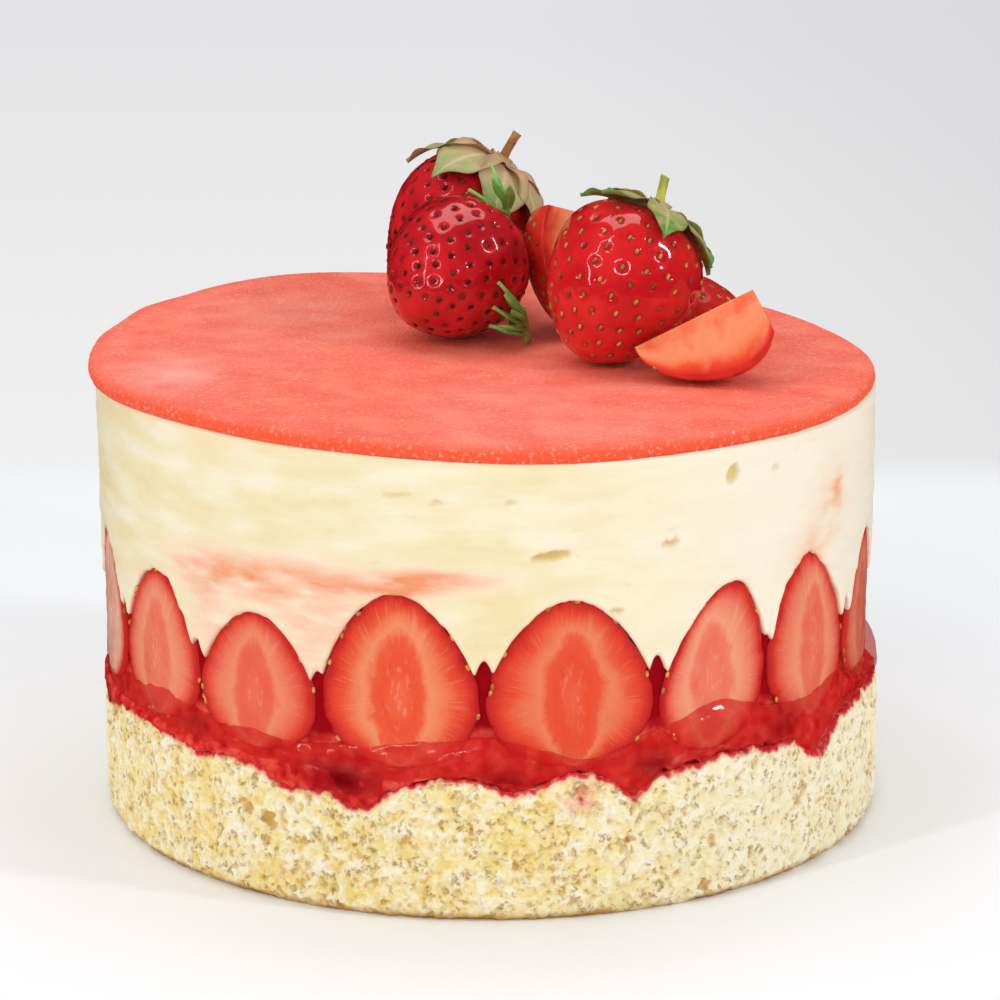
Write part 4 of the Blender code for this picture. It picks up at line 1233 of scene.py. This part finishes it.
def dimpled(points, outwards, centres):
    """Points pressed in round each seed by DIMPLE_DEEP x exp(-(distance / DIMPLE_WIDE) squared)."""
    dent = np.zeros(points.shape[:-1])
    for centre in centres:
        away = np.sum((points - centre) ** 2, axis=-1)
        dent = np.maximum(dent, np.exp(-away / DIMPLE_WIDE**2))
    return points - outwards * (DIMPLE_DEEP * dent)[..., None], dent


print("golden angle:", round(360 * GOLDEN_TURN, 1), "degrees")

# %% [markdown]
# ## Whole strawberries: finish
# Ripe skin is deep red and glossy under a thin wet coat, a little orange where the light goes through, and
# painted darker in the pits round the seeds, which is painted shade. Seeds are straw coloured where they are
# dry and almost black on the riper berry.

# %% Berry finish
def berry_skin(name, bright, dark, pit, roughness, coat_roughness):
    """Ripe berry skin: clear gloss over a red that light enters. The colour goes from dark to bright in soft
    patches, and to the pit's colour in the dimples, which is painted shade."""
    made, tree, shader, place = new_material(
        name, Roughness=roughness, IOR=1.42, Specular_IOR_Level=0.1, Coat_Weight=1.0,
        Coat_Roughness=coat_roughness, Subsurface_Weight=0.2, Subsurface_Scale=0.003,
        Subsurface_Radius=(1.0, 0.2, 0.15),
    )
    cloud = add_node(tree, "TexNoise", {"Vector": place, "Scale": per_mm(9), "Detail": 3})
    base = add_node(tree, "ValToRGB", {"Fac": cloud}, stops=[(0.36, dark), (0.62, bright)])
    # Painted shade: the dimples round the seeds take the darker pit colour.
    dimple = add_node(tree, "Attribute", attribute_name="dimple")
    share = add_node(tree, "MapRange", {"Value": dimple, "From Min": 0.3})
    fine = add_node(tree, "TexNoise", {"Vector": place, "Scale": per_mm(1.2), "Detail": 3})
    dress(tree, shader, layered(tree, base, (share, pit)), fine, 0.18, 0.5)
    return made


BRIGHT_SKIN = berry_skin("bright_berry_skin", "#dc2626", "#c2141e", "#a8141e", 0.25, 0.03)
RIPE_SKIN = berry_skin("ripe_berry_skin", "#d01e26", "#ac101a", "#7c0a12", 0.36, 0.11)
FINISHES = {
    "strawberry_rear": (RIPE_SKIN, DARK_SEEDS),
    "strawberry_left": (RIPE_SKIN, DARK_SEEDS),
    "strawberry_right": (BRIGHT_SKIN, PALE_SEEDS),
}


def placement(direction, side):
    """A turn that takes +Z to the direction and +X towards the side: rows x, z x x, z."""
    z = unit(np.array(direction, float))
    x = np.array(side, float)
    x = unit(x - x @ z * z)
    return np.stack([x, np.cross(z, x), z])


def settle(points, turn, place):
    """Where a piece's origin goes so that its lowest point stands just clear of the marzipan."""
    turned = points @ turn + (*place, 0.0)
    return np.array([*place, GAP - np.min(turned[:, 2] - marzipan_plane(turned[:, 0]))])


def add_seeds(name, centres, frames, turn_by, origin, material):
    """The seeds of one berry, sunk in its skin, turned and moved as the berry is."""
    points, faces = copies(seed_mesh, frames, centres - frames[:, 2] * SEED_SUNK)
    add_piece(name + "_seeds", (points @ turn_by + origin, faces), material, "berry_skin")


def make_berry(name, length, width, axis, place, seeds):
    """One whole strawberry and its seeds. Returns its turn and place, for the calyx."""
    rng = np.random.default_rng(len(name) + seeds)
    seed_share, seed_turn = seed_places(seeds, 0.03, 0.985, 360.0, rng)
    centres = skin_points(seed_share, seed_turn, length, width)
    frames = skin_frames(seed_share, seed_turn, length, width)
    rows = np.linspace(0.012, 0.988, BERRY_RINGS)
    share, turn = np.meshgrid(rows, once_round(BERRY_COLUMNS), indexing="ij")
    skin = skin_points(share, turn, length, width)
    out = skin_frames(share, turn, length, width)[..., 2, :]
    pressed, dent = dimpled(skin, out, centres)
    pressed += out * (0.25 * rough_noise(skin, 9.0, seeds + len(name)))[..., None]
    shape = closed_surface(pressed, (0, 0, length / 2 - 0.3), (0, 0, -length / 2))
    turn_by = placement(axis, (-1, 0, 0))
    origin = settle(shape[0], turn_by, place)
    skin_material, seed_material = FINISHES[name]
    placed = (shape[0] @ turn_by + origin, shape[1])
    dimple = with_poles(dent, 0, 0)
    add_piece(name + "_skin", placed, skin_material, "berry_skin", [name], dimple=dimple)
    add_seeds(name, centres, frames, turn_by, origin, seed_material)
    return turn_by, origin


berry_places = {name: make_berry(name, **form) for name, form in WHOLE.items()}

# %% [markdown]
# ## Calyxes
# The green star of a strawberry dries first: its leaves turn olive and tan, and curl at the tips. Each leaf
# is a thin lens in section, carried along a line that follows the berry's shoulder and then lifts off. The stem
# is a narrow cone that leans over.

# %% Leaves
CALYXES = {
    "calyx_rear": dict(
        berry="strawberry_rear", sepals=7, stem_lean=0.1, stem_length=7.0, seed=4, reach=0.9, wider=1.6,
        curl=1.6,
    ),
    "calyx_right": dict(
        berry="strawberry_right", sepals=7, stem_lean=0.3, stem_length=6.3, seed=11, reach=0.76, wider=1.3,
        curl=2.6,
    ),
}
SEPAL_CLEARANCE = 1.2
SEPAL_THICKNESS = 0.5
SEPAL_ROWS = 26
LEAF_COLUMNS = 24


def normals_of(line):
    """The normal at each point of a line of (out, up) points: the slope turned a quarter."""
    slope = unit(np.gradient(line, axis=0))
    return np.stack([-slope[:, 1], slope[:, 0]], axis=-1)


def leaf_shape(line, width, thickness, ruffle, cup, blunt):
    """The points, faces, rib and along numbers of a closed leaf. Round each point of the line runs a flat
    oval: cos(p) across, thickness / 2 x sin(p) along the normal. Its edges wave by ruffle and turn up by cup,
    and it narrows by 1 - share^blunt."""
    normal = normals_of(line)
    share = steps(len(line))
    belly = np.sin(np.pi * np.minimum(share * 0.9 + 0.12, 1.0)) ** 0.8
    half = width / 2 * (0.25 + 0.75 * belly) * np.clip(1.02 - share**blunt, 0.04, 1.0)
    turn = once_round(LEAF_COLUMNS)
    across = np.cos(turn)
    wave = ruffle * width * (np.sin(9.0 * share) * np.abs(across) + 0.6 * np.sin(17.0 * share) * across**3)
    lift = thickness / 2 * np.sin(turn) + wave + cup * half * across**2
    out = line[:, :1] + normal[:, :1] * lift
    up = line[:, 1:] + normal[:, 1:] * lift
    rings = points_of(out, across * half, up)
    first, last = ((line[end, 0], 0.0, line[end, 1]) for end in (0, -1))
    rib = np.broadcast_to(np.abs(across), rings.shape[:2])
    along = np.broadcast_to(share, rings.shape[:2])
    return *closed_surface(rings, first, last), with_poles(rib, 0, 0), with_poles(along, 0, 1)


def add_leaves(name, leaves, turn_by, origin, material, slot, node):
    """Leaves of (points, faces, rib, along), joined, turned and moved as one piece in the node's place."""
    points, faces = joined([leaf[:2] for leaf in leaves])
    rib, along = (np.concatenate([leaf[i] for leaf in leaves]) for i in (2, 3))
    add_piece(name, (points @ turn_by + origin, faces), material, slot, [node], rib=rib, along=along)


def turned_about(points, degrees, axis):
    """Points turned about the Z axis, or about the Y axis, by the right-hand rule."""
    c = math.cos(math.radians(degrees))
    s = math.sin(math.radians(degrees))
    if axis == "Z":
        return points @ np.array([[c, s, 0], [-s, c, 0], [0, 0, 1]])
    return points @ np.array([[c, 0, -s], [0, 1, 0], [s, 0, c]])


def sepal_line(length, width, last_share, curl):
    """A line over the berry's shoulder, clear of the skin by SEPAL_CLEARANCE and then by curl x share^3."""
    share = np.linspace(0.03, last_share, SEPAL_ROWS)
    skin = np.stack(berry_profile(share, length, width), axis=-1)
    clear = SEPAL_CLEARANCE + curl * steps(SEPAL_ROWS) ** 3
    return skin + normals_of(skin) * clear


def stem_shape(foot_radius, top_radius, height, lean, base):
    """A stem: a cone round a line that leans to +X, with a slightly flared, rounded cut end."""
    turn = once_round(20)
    share = steps(14)
    radius = foot_radius + (top_radius - foot_radius) * share**0.6 + 0.12 * np.sin(3 * turn + 4 * share)
    radius = radius * (1 + 0.18 * np.clip(share * 6 - 5, 0, 1))
    x = lean * height * share + radius * np.cos(turn)
    rings = points_of(x, radius * np.sin(turn), base + height * share)
    return closed_surface(rings, (0, 0, base), (lean * height, 0, base + height - 0.1))


# %% [markdown]
# Dry leaves are matt. Their colour runs from tan at the foot to olive and then green at the tip, the edges
# are browned, and a pale rib runs down the middle.

# %% Leaf finish
def leaf_finish(name, foot, blade, tip, rib_colour, rim_colour):
    """A matt leaf: three colours along it, a pale rib, browned edges and fine veins as relief."""
    made, tree, shader, place = new_material(name, Roughness=0.6, Specular_IOR_Level=0.35)
    along = add_node(tree, "Attribute", attribute_name="along")
    mottle = add_node(tree, "TexNoise", {"Vector": place, "Scale": per_mm(2.2), "Detail": 4})
    shift = add_node(tree, "MapRange", {"Value": mottle, "To Min": -0.7, "To Max": 0.7})
    where = add_node(tree, "Math", {0: along, 1: shift}, operation="ADD")
    base = add_node(tree, "ValToRGB", {"Fac": where}, stops=[(0.05, foot), (0.5, blade), (0.95, tip)])
    rib = add_node(tree, "Attribute", attribute_name="rib")
    near = add_node(tree, "MapRange", {"Value": rib, "From Max": 0.14, "To Min": 0.6, "To Max": 0.0})
    rim = add_node(tree, "MapRange", {"Value": rib, "From Min": 0.8, "To Max": 0.5})
    dress(tree, shader, layered(tree, base, (near, rib_colour), (rim, rim_colour)), mottle, 0.5, 0.4)
    return made


LEAF_FINISHES = {
    "calyx_rear": leaf_finish("dried_leaf_tan", "#c99a78", "#b3a672", "#8fa062", "#d6c69c", "#8a6a44"),
    "calyx_right": leaf_finish("dried_leaf_olive", "#bfae74", "#a5a05c", "#5c9440", "#d0c890", "#6e7038"),
}

# Stem ends: satin, yellow-green on the fresher berry and brown on the other
STEM_FINISHES = {
    "calyx_rear": two_tone("dried_stem", "#b98a4e", "#9a5f34", 4.0, 0.5),
    "calyx_right": two_tone("green_stem", "#c2c052", "#a0a83c", 4.0, 0.5),
}


def make_calyx(name, berry, sepals, stem_lean, stem_length, seed, reach, wider, curl):
    """The star of leaves, with a short stem foot, as one piece, and the stem of one berry as a second piece."""
    rng = np.random.default_rng(seed)
    length = WHOLE[berry]["length"]
    width = WHOLE[berry]["width"]
    leaves = []
    for i in range(sepals):
        line = sepal_line(length, width, reach * rng.uniform(0.33, 0.42), rng.uniform(-0.1, curl))
        broad = wider * width * rng.uniform(0.2, 0.27)
        points, faces, rib, along = leaf_shape(line, broad, SEPAL_THICKNESS, 0.05, 0.12, 5.0)
        points = turned_about(points, 360.0 * i / sepals + rng.uniform(-6, 6), "Z")
        leaves.append((points, faces, rib, along))
    base = length / 2 + SEPAL_CLEARANCE - 0.9
    points, faces = stem_shape(width * 0.13, width * 0.06, 2.2, 0.0, base)
    leaves.append((points, faces, np.full(len(points), 0.3), np.full(len(points), 0.2)))
    turn_by, origin = berry_places[berry]
    stem_points, stem_faces = stem_shape(1.05, 0.8, stem_length * 0.95, stem_lean, base + 0.8)
    add_piece(name + "_stem", (stem_points @ turn_by + origin, stem_faces), STEM_FINISHES[name], "sepal")
    add_leaves(name + "_leaves", leaves, turn_by, origin, LEAF_FINISHES[name], "sepal", name)


for name, form in CALYXES.items():
    make_calyx(name, **form)

# %% [markdown]
# ## Cut strawberries
# A half, a quarter and a small piece lie among the whole berries. Each is a lengthwise slice: skin on the
# round side, and cut faces that meet on the berry's axis. One ring of points runs over the skin and back
# across the cut faces. The zone number again says how far a point is from the heart.

# %% Cut strawberries
SLICES = {
    "strawberry_half": dict(
        length=28.5, width=23.5, spread=180.0, cut=0.25, axis=(-0.02, 0.42, 0.9), skin=(-0.69, 0.72, 0),
        place=(18.0, 17.4), tone=0.1, skin_zone=1.86,
    ),
    "strawberry_wedge": dict(
        length=26.5, width=26.4, spread=92.0, cut=0.18, axis=(0.88, 0.1, 0.42), skin=(0, 0.26, -0.97),
        place=(38.4, -22.4), tone=0.0, skin_zone=1.86,
    ),
    "strawberry_piece": dict(
        length=26.0, width=23.0, spread=180.0, cut=0.2, axis=(-0.8, 0.5, 0.12), skin=(0, 0, 1),
        place=(39.6, 10.5), tone=0.3, skin_zone=2.0,
    ),
}
SLICE_SKIN_COLUMNS = 90
SLICE_FACE_COLUMNS = 26
SLICE_ROWS = 80
SLICE_SEEDS = 140
SLICE_REACH = (0.0, 0.24, 0.58, 1.0)
SLICE_ZONES = (0.6, 1.06, 1.22, 2.0)


def slice_shape(length, width, spread, cut, seeds, skin_zone, rng):
    """A slice, with its zone and fibre numbers and its seeds. A ring at one share of the length runs over
    the skin at full radius, then in to the axis along one cut face and out along the other. The zone goes
    from SLICE_ZONES at the axis to the skin, by the reach from the axis."""
    arc = np.radians(np.linspace(-spread / 2, spread / 2, SLICE_SKIN_COLUMNS))
    face = np.linspace(1.0, 0.0, SLICE_FACE_COLUMNS + 1)[1:]
    reach = np.concatenate([np.ones(SLICE_SKIN_COLUMNS), face, face[-2::-1]])
    ends = [np.full(SLICE_FACE_COLUMNS, arc[-1]), np.full(SLICE_FACE_COLUMNS - 1, arc[0])]
    turn = np.concatenate([arc, *ends])
    share = np.linspace(cut, 0.985, SLICE_ROWS)[:, None]
    radius, height = berry_profile(share, length, width)
    reach_here = reach * radius
    rings = points_of(reach_here * np.cos(turn), reach_here * np.sin(turn), height)
    first_seed = (1 - math.cos(math.pi * cut)) / 2 + 0.03
    seed_share, seed_turn = seed_places(seeds, first_seed, 0.96, spread * 0.94, rng)
    centres = skin_points(seed_share, seed_turn, length, width)
    frames = skin_frames(seed_share, seed_turn, length, width)
    out = skin_frames(share + 0 * turn, turn + 0 * share, length, width)[..., 2, :]
    pressed, dent = dimpled(rings, out, centres)
    on_skin = (reach > 0.999)[:, None]
    rings = np.where(on_skin, pressed, rings)
    cap_scale = np.linspace(0.1, 0.98, 10)[:, None, None]
    centre = rings[0].mean(axis=0)
    cap = centre + (rings[0] - centre) * cap_scale
    cap[..., 2] += 0.3 * (1 - cap_scale[..., 0] ** 2)
    zone = np.broadcast_to(np.interp(reach, SLICE_REACH, SLICE_ZONES), (SLICE_ROWS, len(reach)))
    tip = np.clip((share - 0.9) / 0.1, 0.0, 1.0)
    zone = np.maximum(zone, 1 + tip)
    cap_reach = np.hypot(cap[..., 0], cap[..., 1]) / radius[0]
    cap_zone = np.interp(cap_reach, SLICE_REACH, SLICE_ZONES)
    zones = with_poles(np.concatenate([cap_zone, zone]), 1, 2)
    rays = np.concatenate([cap[..., 0], height + 0.4 * reach_here]) * 0.025
    shape = closed_surface(np.concatenate([cap, rings]), centre + (0, 0, 0.3), (0, 0, -length / 2))
    return shape, np.minimum(zones, skin_zone), with_poles(rays, 0, 0), centres, frames


def make_slice(name, length, width, spread, cut, axis, skin, place, tone, skin_zone):
    """One cut strawberry with its seeds."""
    rng = np.random.default_rng(len(name))
    seeds = int(spread / 360.0 * SLICE_SEEDS)
    shape, zones, rays, centres, frames = slice_shape(length, width, spread, cut, seeds, skin_zone, rng)
    turn_by = placement(axis, skin)
    origin = settle(shape[0], turn_by, place)
    add_piece(
        name + "_flesh", (shape[0] @ turn_by + origin, shape[1]), cut_strawberry, "berry_flesh", [name],
        zone=zones, fibre=rays, tone=np.full(len(zones), tone),
    )
    add_seeds(name, centres, frames, turn_by, origin, PALE_SEEDS)


for name, form in SLICES.items():
    make_slice(name, **form)

# %% [markdown]
# ## Rosemary
# Two soft tips of rosemary stand between the berries. A needle is a narrow leaf with its edges rolled under,
# bright green above. The needles fan out near the end of a thin stem.

# %% Rosemary
ROSEMARY = {
    "rosemary_low": dict(
        foot=(6.9, 4.8, 88.0), axis=(-0.1, -0.32, 0.94), side=(-0.68, -0.74, 0), length=7.5, lean=(26, 62),
        fan=34, seed=2,
    ),
    "rosemary_high": dict(
        foot=(4.2, 21.4, 87.8), axis=(-0.05, -0.02, 1.0), side=(-0.5, -0.85, 0), length=26.0, lean=(20, 75),
        fan=66, seed=8,
    ),
}
NEEDLES = 6
NEEDLE_ROWS = 22
NEEDLED_LENGTH = 5.5
NEEDLE_WIDTH = 2.6
NEEDLE_THICKNESS = 0.7

FRESH_NEEDLES = leaf_finish("fresh_rosemary", "#8a9a4c", "#6fb44e", "#a2d070", "#b4dc88", "#6a9c48")


def make_rosemary(name, foot, axis, side, length, lean, fan, seed):
    """A stem and its needles, each turned out from the stem and then round it."""
    rng = np.random.default_rng(seed)
    points, faces = stem_shape(0.75, 0.55, length, 0.0, 0.0)
    leaves = [(points, faces, np.full(len(points), 0.4), np.full(len(points), 0.1))]
    for i in range(NEEDLES):
        share = i / (NEEDLES - 1)
        along = np.linspace(0.0, 1.0, NEEDLE_ROWS)
        line = np.stack([rng.uniform(7.0, 10.0) * along, rng.uniform(-0.8, 0.8) * along**2], axis=-1)
        points, *rest = leaf_shape(line, NEEDLE_WIDTH, NEEDLE_THICKNESS, 0.01, -0.25, 6.0)
        from_stem = lean[0] + (lean[1] - lean[0]) * (1 - share)
        around = ((share * 3) % 1.0 * 2 - 1) * fan
        points = turned_about(turned_about(points, from_stem - 90.0, "Y"), around, "Z")
        points = points + (0, 0, length - NEEDLED_LENGTH * (1 - 0.9 * share))
        leaves.append((points, *rest))
    add_leaves(name + "_sprig", leaves, placement(axis, side), foot, FRESH_NEEDLES, "rosemary", name)


for name, form in ROSEMARY.items():
    make_rosemary(name, **form)

# %% [markdown]
# ## The table
# The cake stands on a plain white table. Behind it the picture goes over to a soft grey, out of focus, so the
# one large sheet is painted white near the cake and grey further back, darker to the right.

# %% Table
TABLE_SIZE = 4000.0
TABLE_EDGE = 246.0
EDGE_BLUR = 26.0
WALL_DIM_AT = 1100.0
WALL_SIDE = 250.0

table_mesh = bpy.data.meshes.new("table")
corners = np.array([(-1, -1), (1, -1), (1, 1), (-1, 1)]) * TABLE_SIZE
table_mesh.from_pydata([(x * MM, y * MM, -0.05 * MM) for x, y in corners], [], [(0, 1, 2, 3)])
table = bpy.data.objects.new("table", table_mesh)
bpy.context.scene.collection.objects.link(table)

# Smooth lacquered board: white with a faint sheen. Further back it glows grey as painted light in place of a
# blurred wall, darker to the right.
white_board, tree, shader, place = new_material(
    "white_board", Roughness=0.55, Specular_IOR_Level=0.3, Emission_Strength=1.0
)
split = add_node(tree, "SeparateXYZ", {"Vector": place}).node
edge_ends = {"From Min": (TABLE_EDGE - EDGE_BLUR) * MM, "From Max": (TABLE_EDGE + EDGE_BLUR) * MM}
behind = add_node(
    tree, "MapRange", {"Value": split.outputs["Y"], **edge_ends}, interpolation_type="SMOOTHSTEP"
)
wall_ends = {"From Min": TABLE_EDGE * MM, "From Max": WALL_DIM_AT * MM}
further = add_node(tree, "MapRange", {"Value": split.outputs["Y"], **wall_ends})
aside = add_node(tree, "MapRange", {"Value": split.outputs["X"], "From Max": WALL_SIDE * MM})
board = layered(tree, "#f8fafc", (behind, "#000000"))
wall = layered(tree, "#efefef", (further, "#e3e3e5"), (aside, "#dadadc"))
tree.links.new(board, shader.inputs["Base Color"])
tree.links.new(layered(tree, "#000000", (behind, wall)), shader.inputs["Emission Color"])
table_mesh.materials.append(white_board)
table.visible_glossy = False

# %% Finish
print("frame ", [round(v / MM, 1) for v in (*cad_low, *cad_high)])
